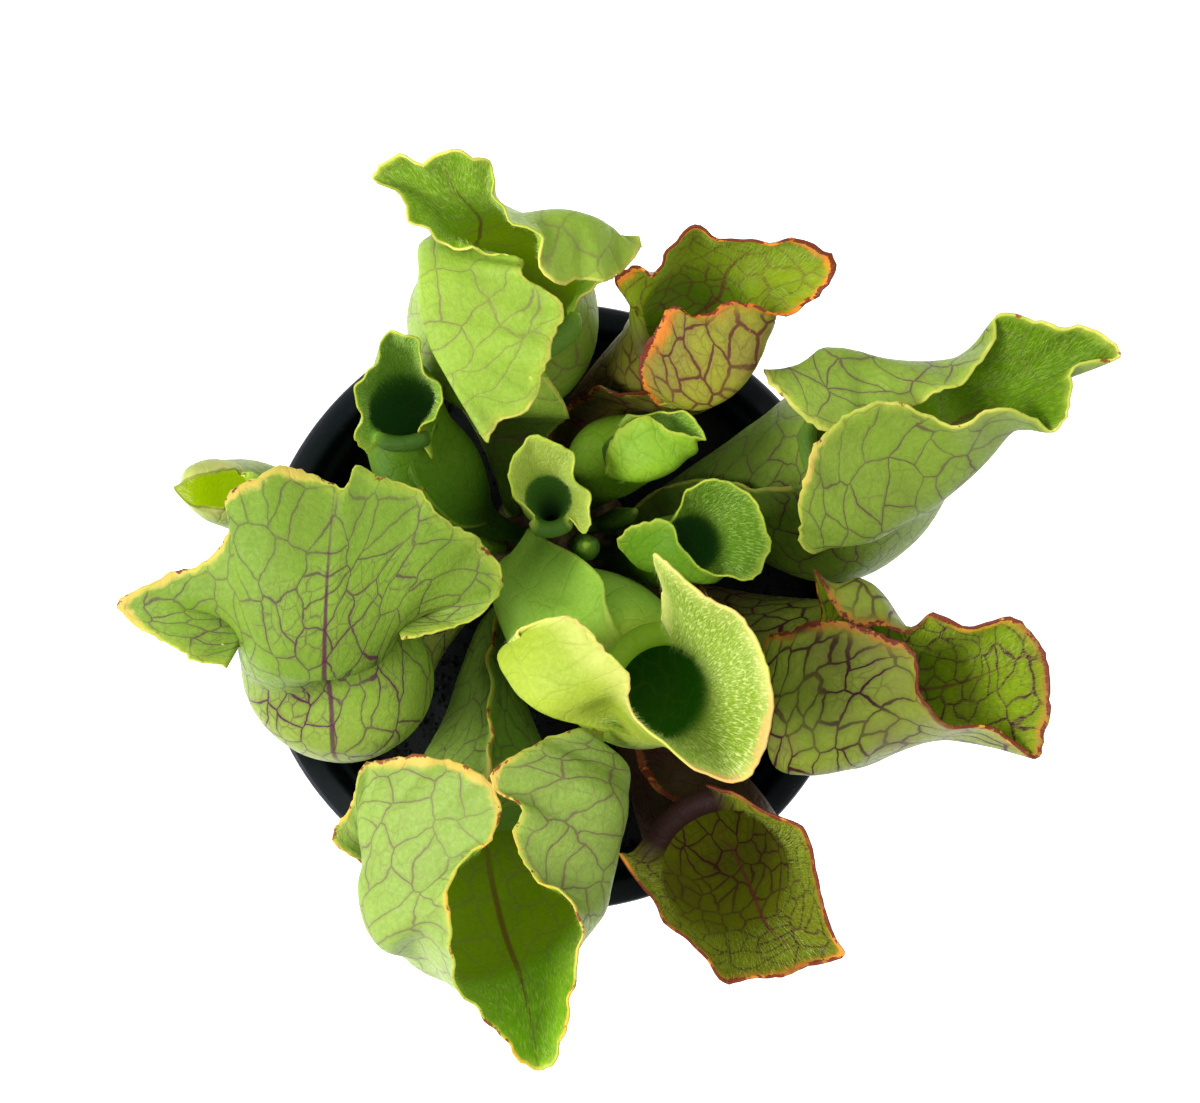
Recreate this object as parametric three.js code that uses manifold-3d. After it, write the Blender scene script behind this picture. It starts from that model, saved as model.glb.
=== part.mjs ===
// A purple pitcher plant (Sarracenia purpurea habit) in a round nursery pot.
// Millimetres, +Z up, the pot stands on Z = 0 with its axis on the Z axis.
import * as THREE from "three";
import Module from "manifold-3d";

const wasm = await Module();
wasm.setup();

// ---- driving dimensions -------------------------------------------------------------------

const potHeight = 105;
const rimRadius = 63.5;
const potSides = 40;
const drainHoleRadius = 4;
const drainHoleCircle = 31;
const drainHoleCount = 6;

const soilTop = 91;
const soilBottom = 3.4;
const soilSides = 36;
const fitGap = 0.3;
const mergeWithin = 0.15;

const crownCentre = { x: 0.5, y: 13 };
const crownRadius = 16;
const crownTop = 95.5;
const crownBottom = 75;
const crownSides = 20;

// The leaves are laid out on a plan drawn at the level of the pot rim, as it looks from a point
// above the pot. A plan point [x, y, h] lies on the sight line through x, y at h above the rim.
const viewpoint = { x: 8.8, y: 11.6, height: 480 };

const bigLeaf = {
  wall: 0.9,
  tubeSteps: [0.14, 0.3, 0.46, 0.6, 0.74, 0.87, 1],
  hoodSteps: [0.22, 0.5, 0.78, 1],
  lipRadius: 1.3,
  arch: 0.15,
};
const smallLeaf = {
  wall: 0.7,
  tubeSteps: [0.2, 0.4, 0.6, 0.8, 1],
  hoodSteps: [0.35, 0.7, 1],
  lipRadius: 0.8,
  arch: 0.1,
};
const stalkRows = 2;
const wingRoot = 1.0;
const wingEdge = 0.45;
const wingRootShare = 0.35;
const lipRoll = 1.15 * Math.PI;
const budSides = 10;
const budSteps = 8;

// ---- leaf table ---------------------------------------------------------------------------
// spine: [x, y, h, radius across, radius front to back] from the foot in the crown to the mouth
// back:  azimuth the back of the mouth faces, degrees from +X
// wing:  [share of the length, width, lean in degrees]
// hood:  [angle round the mouth from its back, margin x, y, h, and where it is bent x, y, h]

const pitchers = {
  pitcher_north_west: {
    ...bigLeaf,
    color: 0x7fa63a,
    back: 121,
    spine: [
      [-9.5, 20, -17, 1.8], [-9.5, 21.5, -8, 1.9], [-10.5, 28.5, -3, 3], [-11.5, 38, 2, 6],
      [-12, 50.5, 13, 13], [-11.5, 58.5, 27, 18.7], [-10.5, 65, 40, 16.5, 14], [-10, 68, 47, 13.5],
    ],
    wing: [[0.12, 0, -60], [0.3, 7, -75], [0.45, 11, -75], [0.65, 9, -75], [0.9, 0, -60]],
    hood: [
      [135, -26.5, 58, 54, -20, 56, 54], [126, -19, 45, 57, -22.5, 55.5, 56],
      [118, -14.5, 35, 57, -26, 56.5, 57], [108, -3, 48, 61, -28, 59.5, 58],
      [96, 0.3, 60.5, 63, -29, 64.5, 57], [82, -4.5, 67.5, 64, -29, 70, 56],
      [68, -10, 73.5, 60, -29, 74.5, 52], [54, -19, 73, 60, -26.5, 77, 50],
      [42, -27, 78.5, 61, -25.5, 79.5, 51], [30, -38, 89.5, 68, -27.5, 84.5, 54],
      [15, -34, 93, 74, -25.5, 87, 60], [0, -24.5, 95, 76, -21.5, 88, 60],
      [-15, -16.5, 93.5, 74, -16.5, 87, 60], [-30, -13, 89.5, 70, -13, 85.5, 58],
      [-45, -11, 83, 66, -10.5, 83, 56], [-56, -5, 77.5, 68, -7.5, 82, 58],
      [-68, -2, 70.5, 68, -1.5, 82.5, 60], [-80, 6.5, 67, 63, 4.5, 82, 60],
      [-92, 13, 70, 58, 10, 80, 57], [-104, 18.5, 78, 55, 11.5, 77, 52],
      [-120, 9, 66, 50], [-135, 1.5, 61, 48],
    ],
  },
  pitcher_north: {
    ...bigLeaf,
    lipRadius: 1.1,
    color: 0x8a7f35,
    back: 55,
    spine: [
      [-4.5, 22.5, -17, 1.8], [-3.5, 24.5, -8, 2], [-0.5, 31.5, -4, 3], [5, 39.5, 2, 4.5],
      [11.5, 45, 9, 6.5], [17.5, 49, 18, 8.5], [24.5, 52, 28, 12], [28, 56, 38, 12], [29, 60, 45, 11],
    ],
    wing: [[0.1, 0, 40], [0.3, 4, 60], [0.55, 6, 60], [0.75, 6, 60], [0.93, 0, 40]],
    hood: [
      [135, 16, 64, 46], [115, 12, 68.5, 52], [95, 17, 72, 56], [75, 19.5, 69, 60],
      [55, 22.5, 73, 66], [38, 27.5, 80, 71], [20, 33.5, 77, 70], [5, 41.5, 76, 70],
      [-12, 50, 77, 70], [-28, 57, 73, 66], [-42, 57.5, 69, 62], [-56, 50, 61, 60, 46, 64, 56],
      [-68, 42.5, 62, 62, 45, 59.5, 58], [-80, 35.5, 63.5, 62, 43.5, 56, 58],
      [-92, 29, 60.5, 61, 42.5, 52.5, 57], [-104, 24.5, 62.5, 61, 40.5, 48.5, 56],
      [-114, 19.5, 57, 60, 37, 44.5, 54], [-124, 17, 49.5, 56, 31.5, 41.5, 51], [-135, 20, 42, 49, 26.5, 41.5, 46],
    ],
  },
  pitcher_east: {
    ...bigLeaf,
    lipRadius: 0.9,
    color: 0x7da03c,
    back: 15,
    spine: [
      [11.5, 15.5, -17, 1.8], [13, 16, -8, 1.9], [19, 19, -4, 3.3], [29.5, 22, 1, 7.5],
      [42, 23.5, 8, 14, 12], [54.5, 25, 18, 19.5, 15], [63, 28.5, 29, 18, 15], [68, 33, 39, 15],
    ],
    wing: [[0.1, 0, 40], [0.3, 5, 65], [0.5, 6, 65], [0.7, 4, 50], [0.9, 0, 30]],
    hood: [
      [140, 55, 42.5, 48], [128, 43, 50, 51, 52.5, 49, 49], [118, 48, 42, 54, 54, 53.5, 50],
      [108, 56.5, 37, 56, 58.5, 54, 51], [96, 66, 39.5, 55, 63, 53, 51], [84, 76, 43.5, 60, 69, 51.5, 52],
      [70, 84, 46.5, 63, 76.5, 51, 53], [56, 89, 53.5, 66, 82.5, 52, 55], [42, 92.5, 61.5, 70, 87, 54, 57],
      [30, 100.5, 59, 72, 92, 50.5, 58], [18, 109.5, 59, 73, 96, 48.5, 58], [4, 117, 53, 73, 98.5, 45, 58],
      [-10, 108.5, 49.5, 70, 97, 44, 57], [-22, 106.5, 42, 66, 96.5, 41, 55],
      [-36, 103.5, 37, 63, 95, 37.5, 54], [-50, 93, 41, 64, 92, 33.5, 52],
      [-62, 81.5, 38, 62, 87, 28.5, 50], [-72, 74.5, 40.5, 62, 82.5, 24.5, 48],
      [-82, 66.5, 43, 62, 78.5, 21, 46], [-92, 58.5, 38.5, 60, 74.5, 18.5, 44],
      [-102, 52, 30, 60, 70, 16, 46], [-112, 50.5, 21, 57, 66, 14, 47],
      [-124, 51.5, 11.5, 51, 61, 13.5, 49], [-138, 60, 15, 48],
    ],
  },
  pitcher_east_low: {
    ...bigLeaf,
    color: 0x7a6b33,
    back: -5,
    spine: [
      [10.5, 7.5, -17, 1.8], [11.5, 6.5, -8, 2], [19, 2.5, -4, 4], [30.5, -3, 1, 8],
      [42, -9.5, 8, 12.5], [52, -14, 17, 15.5], [59, -16.5, 27, 16.5, 14], [63.5, -16.5, 36, 14.5],
    ],
    wing: [[0.1, 0, 40], [0.3, 5, 60], [0.5, 7, 60], [0.7, 5, 50], [0.9, 0, 30]],
    hood: [
      [140, 55, -3.5, 42], [120, 53.5, 8, 50, 57.5, 1.5, 44], [104, 56.5, 2, 53, 61, 6, 48],
      [88, 60, -2.5, 54, 64, 5, 50], [72, 67, -4, 56, 68, 1.5, 50], [56, 73, -5, 58, 71, -2.5, 50],
      [42, 78, -1, 62, 74.5, -7, 52], [28, 85.5, -4, 64], [14, 94, -2, 67], [2, 100.5, -7, 68],
      [-10, 102.5, -16.5, 68], [-22, 102, -25.5, 66], [-34, 99.5, -31.5, 62],
      [-46, 91, -25.5, 62, 82.5, -27.5, 50], [-58, 80.5, -24.5, 61, 76.5, -28, 48],
      [-70, 75, -17, 61, 70, -29.5, 46], [-80, 74, -10, 61, 66, -31, 45], [-90, 68.5, -6, 60, 63, -33, 43],
      [-100, 57.5, -3, 57, 58.5, -34, 41], [-110, 48.5, -4.5, 52, 53.5, -34.5, 39],
      [-122, 43, -7, 46, 47.5, -34, 36], [-138, 45, -21.5, 38, 46.5, -26.5, 34],
    ],
  },
  pitcher_south_east: {
    ...bigLeaf,
    lipRadius: 1.5,
    arch: 0.1,
    color: 0x6b5528,
    back: -50,
    spine: [
      [4.5, 2, -17, 1.8], [5.5, 0.5, -8, 2], [10.5, -9, -6, 4], [16.5, -20.5, -3, 6.5],
      [22.5, -32, 1, 9.5], [29, -42.5, 10, 12.5], [33.5, -50.5, 22, 13.5, 12], [35, -55, 33, 13.5],
    ],
    wing: [[0.15, 0, 0], [0.4, 2, -30], [0.7, 4, -50], [0.93, 0, 0]],
    hood: [
      [134, 30.5, -36.5, 40, 37, -39, 37], [122, 37.5, -39, 43], [106, 44, -42.5, 46],
      [88, 51, -45.5, 49], [68, 53, -50.5, 51], [48, 55, -59.5, 53], [30, 57.5, -68, 54],
      [16, 60, -72.5, 54], [2, 53.5, -74.5, 52], [-14, 46.5, -77, 52], [-30, 40.5, -77.5, 52],
      [-46, 34.5, -78, 51], [-62, 30, -72.5, 50], [-78, 26.5, -69, 48], [-92, 22, -65.5, 46],
      [-106, 20.5, -62, 46, 19.5, -60.5, 42], [-120, 17, -58, 46, 17, -57, 40],
      [-134, 12.5, -51.5, 44, 17.5, -54.5, 38],
    ],
  },
  pitcher_south: {
    ...bigLeaf,
    color: 0x83a83e,
    back: -85,
    spine: [
      [-6.5, 3, -17, 1.8], [-7.5, 2, -8, 2], [-12.5, -3, -5, 3], [-14.5, -13, -1, 5.6],
      [-14.5, -24.5, 6, 9.5], [-14.5, -41, 17, 17.5, 14], [-13, -50.5, 27, 20.5, 15],
      [-10.5, -58, 38, 17.5, 14],
    ],
    wing: [[0.1, 0, 10], [0.28, 5, -30], [0.48, 6, -25], [0.68, 5, 0], [0.93, 0, 0]],
    hood: [
      [138, 3.5, -45.5, 44], [128, 9, -26.5, 48, 7.5, -40, 43], [119, 6.5, -25, 53, 14, -33, 48],
      [110, -2.5, -27.5, 57, 14.5, -38, 50], [101, -11, -32, 62, 14, -43, 53],
      [92, -13.5, -36.5, 62, 12.5, -48, 52], [82, -8, -41, 62, 11.5, -52, 51],
      [70, -9, -48, 61, 10, -57, 50], [58, -4.5, -55.5, 60, 9, -62, 49], [44, 3.5, -62, 60, 7, -66, 48],
      [30, 5.5, -69, 60], [18, 2.5, -81.5, 58], [8, 1.5, -91, 54], [0, -4, -96.5, 52],
      [-10, -11, -91, 55], [-22, -16.5, -84, 58], [-34, -22, -77, 60], [-48, -22.5, -67, 61, -25.5, -67, 50],
      [-60, -21.5, -54, 61, -31.5, -69, 48], [-72, -12, -45, 62, -36, -65, 46],
      [-82, -14, -37, 62, -38, -59.5, 45], [-92, -20.5, -32.5, 60, -38, -57, 45],
      [-102, -30.5, -31, 57, -38.5, -54.5, 45], [-112, -40, -33, 54, -38.5, -53, 44],
      [-122, -43, -41, 49, -38, -51.5, 42], [-132, -46.5, -48, 44, -36, -50.5, 40],
      [-142, -36, -57, 40, -28.5, -54.5, 39],
    ],
  },
  pitcher_west: {
    ...bigLeaf,
    arch: 0.12,
    color: 0x86a846,
    backFacing: [0, -0.5, 0.87],
    spine: [
      [-10.5, 7.5, -17, 1.8], [-11.5, 6.5, -8, 2], [-20, 0.5, -4, 3.4], [-28.5, -6.5, 0, 6],
      [-36.5, -13, 8, 11], [-44, -15.5, 21, 17.5, 16], [-46.5, -12, 34, 18.5, 14], [-47.5, -5.5, 45, 17, 11],
    ],
    wing: [[0.1, 0, 0], [0.35, 3, 0], [0.6, 3, 0], [0.93, 0, 0]],
    hood: [
      [138, -32.5, -6.5, 50], [122, -22.5, -4.5, 50], [106, -14, 0.5, 50], [92, -11, 5.5, 51],
      [76, -15.5, 13, 53], [60, -22.5, 18, 55], [44, -30.5, 25, 55], [30, -37, 27.5, 55],
      [14, -42, 29.5, 55], [4, -44.5, 24.5, 56], [-8, -50, 27.5, 55], [-22, -55.5, 29.5, 55],
      [-36, -61.5, 27.5, 55], [-48, -69, 23.5, 54], [-60, -68.5, 15, 53], [-72, -73.5, 10, 51],
      [-84, -82.5, 6, 49], [-96, -92, 0.5, 46], [-110, -85, -5.5, 47], [-124, -76.5, -10.5, 47],
      [-138, -68.5, -12.5, 46],
    ],
  },
  pitcher_centre_south: {
    ...bigLeaf,
    lipRadius: 1.4,
    arch: 0.12,
    color: 0xa5b84a,
    back: -65,
    footFacing: [0.1, -0.1, -1],
    spine: [
      [-3.5, 10, -17, 1.8], [-4.5, 9, -8, 2.4], [-7, 6, 2, 6.2], [-2, -0.5, 14, 10.5],
      [9.5, -8.5, 27, 14.5], [16.5, -15.5, 39, 13], [21.5, -18, 50, 10],
    ],
    wing: [[0.12, 0, 60], [0.26, 7, 65], [0.45, 9, 65], [0.7, 6, 55], [0.93, 0, 20]],
    hood: [
      [135, 21.5, -1.5, 56], [120, 22, 3.5, 62], [106, 20.5, 11.5, 72], [92, 27.5, 5, 74],
      [76, 34, 1, 75], [60, 39, -2.5, 76], [44, 43, -10, 77], [28, 45, -19.5, 76], [12, 42.5, -31.5, 74],
      [-2, 37.5, -36.5, 72], [-16, 29.5, -34.5, 70], [-32, 21.5, -28, 68], [-48, 15.5, -23, 66],
      [-62, 14.5, -19.5, 66, 11.5, -20.5, 58], [-72, 14.5, -14, 68, 3.5, -22.5, 60],
      [-82, 11, -10, 68, -2.5, -22, 60], [-92, 7.5, -6, 67, -8, -18.5, 58],
      [-102, 4, -2.5, 65, -11.5, -13.5, 55], [-112, -2.5, -2.5, 61, -12.5, -10, 51],
      [-124, -8, -5.5, 57, -10, -11, 50], [-138, 5.5, -12, 50, 3.5, -12.5, 48],
    ],
  },
  pitcher_far_west: {
    ...smallLeaf,
    color: 0x8fae3a,
    back: 170,
    spine: [
      [-11.5, 12.5, -17, 1.5], [-13, 12.5, -8, 1.6], [-26.5, 15, -6, 2.6], [-43, 18, 0, 4.2],
      [-55.5, 21, 9, 6.3], [-64, 23, 22, 7.3], [-70, 24, 35, 6.3],
    ],
    hood: [
      [135, -68.5, 21, 40], [100, -75, 21, 42], [60, -78.5, 23, 44], [15, -80.5, 25.5, 46],
      [-25, -77.5, 26.5, 46, -78, 27.5, 44], [-55, -74, 27.5, 46, -74.5, 29.5, 44],
      [-85, -71, 28, 45, -71.5, 30, 43], [-110, -68, 28.5, 43, -67.5, 30, 40], [-135, -66, 27.5, 38],
    ],
  },
  pitcher_inner_north_west: {
    ...smallLeaf,
    lipRadius: 0.9,
    color: 0x5f8f30,
    back: 97,
    spine: [
      [-6, 15, -17, 1.6], [-8, 15.2, -8, 1.7], [-15.5, 18, -1, 3.6], [-22, 23, 8, 8.5],
      [-26.5, 28, 18, 10.5], [-30.5, 35, 28, 9], [-32, 41.5, 37, 7.5],
    ],
    wing: [[0.3, 0, 0], [0.5, 2, 0], [0.7, 2, 0], [0.9, 0, 0]],
    hood: [
      [138, -37.5, 35, 40], [122, -39.5, 32, 38], [108, -42.5, 35, 42], [92, -41, 41, 46],
      [74, -42, 46.5, 50], [54, -38.5, 50.5, 54], [34, -37, 55.5, 57], [12, -33, 57, 60],
      [-10, -29, 56, 60], [-32, -28, 51.5, 57], [-54, -24.5, 45.5, 53], [-76, -24.5, 41, 49],
      [-96, -27, 38, 45], [-112, -28.5, 35, 42], [-126, -26.5, 31, 39], [-140, -28, 35, 39],
    ],
  },
  pitcher_inner_centre: {
    ...smallLeaf,
    color: 0x7f9f3c,
    back: 100,
    spine: [
      [-1, 16.5, -17, 1.5], [-1.2, 17.5, -8, 1.7], [-1.6, 20, 2, 3], [-1.8, 22, 15, 4.8],
      [-2, 22.5, 26, 5.5], [-2, 22.5, 35, 5.2],
    ],
    hood: [
      [132, -5.5, 19, 39], [105, -9.5, 24, 44], [80, -10, 29, 48], [55, -8, 34, 51], [25, -5, 36, 53],
      [0, -1, 34.5, 54], [-25, 3, 32, 53], [-48, 4, 26.5, 50], [-70, 6.5, 24.5, 48], [-92, 7, 20, 45],
      [-115, 5.5, 15, 41], [-138, 2.5, 18, 38],
    ],
  },
  pitcher_inner_north_east: {
    ...smallLeaf,
    color: 0x5c9130,
    back: 30,
    spine: [
      [3, 19, -17, 1.4], [3.5, 20, -8, 1.6], [5, 22.5, 0, 3.4], [8.5, 28.5, 11, 6.9],
      [11, 31, 20, 8.1], [15, 32.5, 29, 7.2], [18, 33, 36, 6.3],
    ],
    hood: [
      [138, 12.5, 35.5, 36], [110, 14.5, 40, 40], [85, 17, 40, 43], [60, 22, 41, 46], [35, 26, 41, 48],
      [12, 29.5, 37.5, 49], [-8, 31, 34.5, 48], [-28, 27.5, 36, 48, 29, 33.5, 46],
      [-48, 23, 36.5, 48, 26.5, 32, 46], [-68, 19, 39.5, 47, 24, 29.5, 46],
      [-88, 14, 38.5, 46, 20, 27.5, 45], [-110, 10.5, 33.5, 44, 15.5, 26.5, 43], [-136, 9.5, 28, 40, 12, 26.5, 39],
    ],
  },
  pitcher_inner_east: {
    ...smallLeaf,
    lipRadius: 0.9,
    color: 0x5a8f32,
    back: 20,
    spine: [
      [8, 11.5, -17, 1.4], [9, 11.5, -8, 1.6], [12.5, 10.8, -1, 3], [17.5, 11, 8, 5.5],
      [22.5, 11.5, 20, 7], [27.5, 13, 33, 6.3],
    ],
    hood: [
      [138, 23, 17, 37], [112, 25, 21, 42], [88, 27.5, 25, 46], [62, 34, 26.5, 50], [38, 39.5, 24.5, 51],
      [14, 43, 18.5, 51], [-8, 44, 12.5, 49], [-30, 42, 6.5, 46], [-50, 38, 5.5, 43],
      [-68, 29.5, 8.5, 41, 32.5, 5, 38], [-84, 25, 13, 42, 28.5, 5, 37], [-100, 23, 17.5, 42, 25.5, 6, 36],
      [-114, 16, 17.5, 40, 21.5, 7, 35], [-128, 12.5, 12.5, 36, 17, 8, 33], [-142, 20.5, 9.5, 33],
    ],
  },
};

const buds = {
  bud_middle: {
    color: 0x6d9a35,
    spine: [
      [3.5, 13.5, -17, 1.3], [4, 13.5, -8, 1.5], [5, 13.5, 6, 2.2], [6, 12.5, 18, 2.7],
      [6, 12.5, 28, 2], [6, 13, 34, 0.7],
    ],
  },
  bud_east: {
    color: 0x6d9a35,
    spine: [
      [6.5, 16.5, -17, 1.3], [7.5, 17, -8, 1.5], [10, 17.5, 0, 2], [12.5, 18.5, 7, 2.2],
      [14.5, 19, 12, 1.8], [16, 20, 16, 0.7],
    ],
  },
};

// ---- curves -------------------------------------------------------------------------------

const toRadians = (degrees) => (degrees * Math.PI) / 180;
const easeInOut = (u) => u * u * (3 - 2 * u);
const clamp01 = (u) => Math.min(1, Math.max(0, u));

function planPoint(x, y, h) {
  const k = (viewpoint.height - h) / viewpoint.height;
  return new THREE.Vector3(
    viewpoint.x + (x - viewpoint.x) * k,
    viewpoint.y + (y - viewpoint.y) * k,
    potHeight + h,
  );
}

// A smooth curve through rows of numbers at rising knots.
function smoothThrough(knots, rows) {
  const last = knots.length - 1;
  const slope = rows.map((row, i) =>
    row.map((value, d) => {
      const before = i > 0 ? (value - rows[i - 1][d]) / (knots[i] - knots[i - 1]) : null;
      const after = i < last ? (rows[i + 1][d] - value) / (knots[i + 1] - knots[i]) : null;
      if (before === null) return after;
      if (after === null) return before;
      const a = knots[i] - knots[i - 1];
      const b = knots[i + 1] - knots[i];
      return (before * b + after * a) / (a + b);
    }),
  );
  return (t) => {
    let i = 0;
    while (i < last - 1 && t > knots[i + 1]) i += 1;
    const span = knots[i + 1] - knots[i];
    const u = clamp01((t - knots[i]) / span);
    const rise = easeInOut(u);
    const leave = u * (1 - u) * (1 - u) * span;
    const arrive = u * u * (u - 1) * span;
    return rows[i].map(
      (value, d) =>
        value * (1 - rise) + rows[i + 1][d] * rise + leave * slope[i][d] + arrive * slope[i + 1][d],
    );
  };
}

function lengthsAlong(points) {
  const lengths = [0];
  for (let i = 1; i < points.length; i += 1) {
    lengths.push(lengths[i - 1] + points[i].distanceTo(points[i - 1]));
  }
  return lengths;
}

const toRow = (point) => point.toArray();
const toPoint = (row) => new THREE.Vector3().fromArray(row);

// ---- one pitcher leaf ---------------------------------------------------------------------

function makeSpine(leaf) {
  const points = leaf.spine.map(([x, y, h]) => planPoint(x, y, h));
  const lengths = lengthsAlong(points);
  const knots = lengths.map((length) => length / lengths[lengths.length - 1]);
  const centreAt = smoothThrough(knots, points.map(toRow));
  const radiiAt = smoothThrough(knots, leaf.spine.map(([, , , across, deep = across]) => [across, deep]));
  const azimuth = toRadians(leaf.back ?? 0);
  const mouthBack = toPoint(leaf.backFacing ?? [Math.cos(azimuth), Math.sin(azimuth), -0.6]).normalize();
  const outward = points[1].clone().sub(points[0]).setZ(0).normalize();
  const footBack = leaf.footFacing ? toPoint(leaf.footFacing) : outward.setZ(-1);
  footBack.normalize();

  const frameAt = (t) => {
    const along = toPoint(centreAt(Math.min(1, t + 0.02))).sub(toPoint(centreAt(Math.max(0, t - 0.02))));
    along.normalize();
    const back = footBack.clone().lerp(mouthBack, easeInOut(clamp01(t)));
    back.addScaledVector(along, -back.dot(along)).normalize();
    const side = along.clone().cross(back);
    return { centre: toPoint(centreAt(t)), along, back, side, radii: radiiAt(t) };
  };
  return { frameAt, footEnd: knots[1] };
}

function ringPoint(frame, angle) {
  const [across, deep] = frame.radii;
  return frame.centre
    .clone()
    .addScaledVector(frame.back, Math.cos(angle) * deep)
    .addScaledVector(frame.side, Math.sin(angle) * across);
}

// Columns run round the leaf: wing root, lip, hood stations, lip, wing root, two wing edges.
function makeColumns(leaf) {
  const stations = leaf.hood.map(([angle, x, y, h, bendX, bendY, bendH]) => ({
    kind: "hood",
    angle: toRadians(angle),
    margin: planPoint(x, y, h),
    bend: bendX === undefined ? null : planPoint(bendX, bendY, bendH),
  }));
  const frontEdge = toRadians(172);
  const leftLip = { kind: "lip", angle: (frontEdge + stations[0].angle) / 2 };
  const rightLip = { kind: "lip", angle: (stations[stations.length - 1].angle - frontEdge) / 2 };
  const main = [{ kind: "wing", offset: wingRoot }, leftLip, ...stations, rightLip];
  const columns = [
    ...main,
    { kind: "wing", offset: -wingRoot },
    { kind: "wing", offset: -wingEdge, spreads: true },
    { kind: "wing", offset: wingEdge, spreads: true },
  ];
  main.forEach((column, i) => {
    column.evenShare = 1 - (2 * i) / main.length;
  });
  return columns;
}

function wingAngle(frame, offset) {
  const across = frame.radii[0];
  const shrink = Math.min(1, (across * wingRootShare) / wingRoot);
  return Math.PI - Math.asin((offset * shrink) / across);
}

// Two grids of points from foot to margin: the plain skin, and the skin with its wing drawn out.
function makeSkin(leaf) {
  const { frameAt, footEnd } = makeSpine(leaf);
  const columns = makeColumns(leaf);
  const mouth = frameAt(1);
  const belowMouth = frameAt(0.93);
  const wingAt = leaf.wing
    ? smoothThrough(leaf.wing.map(([t]) => t), leaf.wing.map(([, width, lean]) => [width, lean]))
    : null;
  const plain = [];
  const winged = [];

  for (const t of [0, footEnd, ...leaf.tubeSteps]) {
    const frame = frameAt(t);
    const settle = easeInOut(clamp01((t - 0.45) / 0.55));
    const row = columns.map((column) => {
      if (column.kind === "wing") return ringPoint(frame, wingAngle(frame, column.offset));
      const evenAngle = wingAngle(frame, wingRoot) * column.evenShare;
      return ringPoint(frame, evenAngle + (column.angle - evenAngle) * settle);
    });
    const inWing = wingAt && t > leaf.wing[0][0] && t < leaf.wing[leaf.wing.length - 1][0];
    const [width, lean] = inWing ? wingAt(t) : [0, 0];
    plain.push(row);
    winged.push(
      row.map((point, i) => {
        const edge = point.clone();
        if (!columns[i].spreads || width <= 0) return edge;
        return edge
          .addScaledVector(frame.back, -Math.cos(toRadians(lean)) * width)
          .addScaledVector(frame.side, Math.sin(toRadians(lean)) * width);
      }),
    );
  }

  const rim = plain[plain.length - 1];
  const risers = columns.map((column, i) => {
    if (column.kind !== "hood") return null;
    const bend = column.bend ?? rim[i].clone().lerp(column.margin, 0.5);
    if (!column.bend) bend.addScaledVector(mouth.along, rim[i].distanceTo(column.margin) * leaf.arch);
    const points = [ringPoint(belowMouth, column.angle), rim[i], bend, column.margin];
    const lengths = lengthsAlong(points);
    const curve = smoothThrough(lengths, points.map(toRow));
    return (share) => toPoint(curve(lengths[1] + (lengths[3] - lengths[1]) * share));
  });
  for (const share of leaf.hoodSteps) {
    const row = columns.map((column, i) => {
      if (risers[i]) return risers[i](share);
      const outward = rim[i].clone().sub(mouth.centre);
      outward.addScaledVector(mouth.along, -outward.dot(mouth.along)).normalize();
      const turn = lipRoll * share;
      return rim[i]
        .clone()
        .addScaledVector(outward, leaf.lipRadius * (1 - Math.cos(turn)))
        .addScaledVector(mouth.along, leaf.lipRadius * Math.sin(turn));
    });
    plain.push(row);
    winged.push(row);
  }
  return { plain, winged };
}

function skinNormals(grid) {
  const count = grid[0].length;
  const normals = grid.map((row) => row.map(() => new THREE.Vector3()));
  const addFace = (corners) => {
    const [a, b, c] = corners.map(([i, j]) => grid[i][j]);
    const normal = b.clone().sub(a).cross(c.clone().sub(a));
    for (const [i, j] of corners) normals[i][j].add(normal);
  };
  for (let i = 0; i < grid.length - 1; i += 1) {
    for (let j = 0; j < count; j += 1) {
      const next = (j + 1) % count;
      addFace([[i, j], [i + 1, next], [i, next]]);
      addFace([[i, j], [i + 1, j], [i + 1, next]]);
    }
  }
  return normals.map((row) => row.map((normal) => normal.normalize()));
}

const centroid = (points) =>
  points.reduce((sum, point) => sum.add(point), new THREE.Vector3()).divideScalar(points.length);

// The skin is given its wall: open at the mouth, solid in the stalk and closed at the foot.
function makeCup({ plain, winged }, wall) {
  const count = plain[0].length;
  const top = plain.length - 1;
  const normals = skinNormals(plain);
  const points = [];
  const faces = [];
  const addPoint = (point) => points.push(point) - 1;
  const outer = winged.map((row) => row.map(addPoint));
  const inner = plain.slice(stalkRows).map((row, i) =>
    row.map((point, j) => addPoint(point.clone().addScaledVector(normals[i + stalkRows][j], -wall))),
  );
  const innerTop = inner.length - 1;
  const footCentre = addPoint(centroid(winged[0]));
  const floorCentre = addPoint(centroid(inner[0].map((index) => points[index])));
  for (let j = 0; j < count; j += 1) {
    const next = (j + 1) % count;
    for (let i = 0; i < top; i += 1) {
      faces.push([outer[i][j], outer[i + 1][next], outer[i][next]]);
      faces.push([outer[i][j], outer[i + 1][j], outer[i + 1][next]]);
    }
    for (let i = 0; i < innerTop; i += 1) {
      faces.push([inner[i][j], inner[i][next], inner[i + 1][next]]);
      faces.push([inner[i][j], inner[i + 1][next], inner[i + 1][j]]);
    }
    faces.push([outer[top][j], inner[innerTop][next], outer[top][next]]);
    faces.push([outer[top][j], inner[innerTop][j], inner[innerTop][next]]);
    faces.push([footCentre, outer[0][j], outer[0][next]]);
    faces.push([floorCentre, inner[0][next], inner[0][j]]);
  }
  return toGeometry(points, faces);
}

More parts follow.
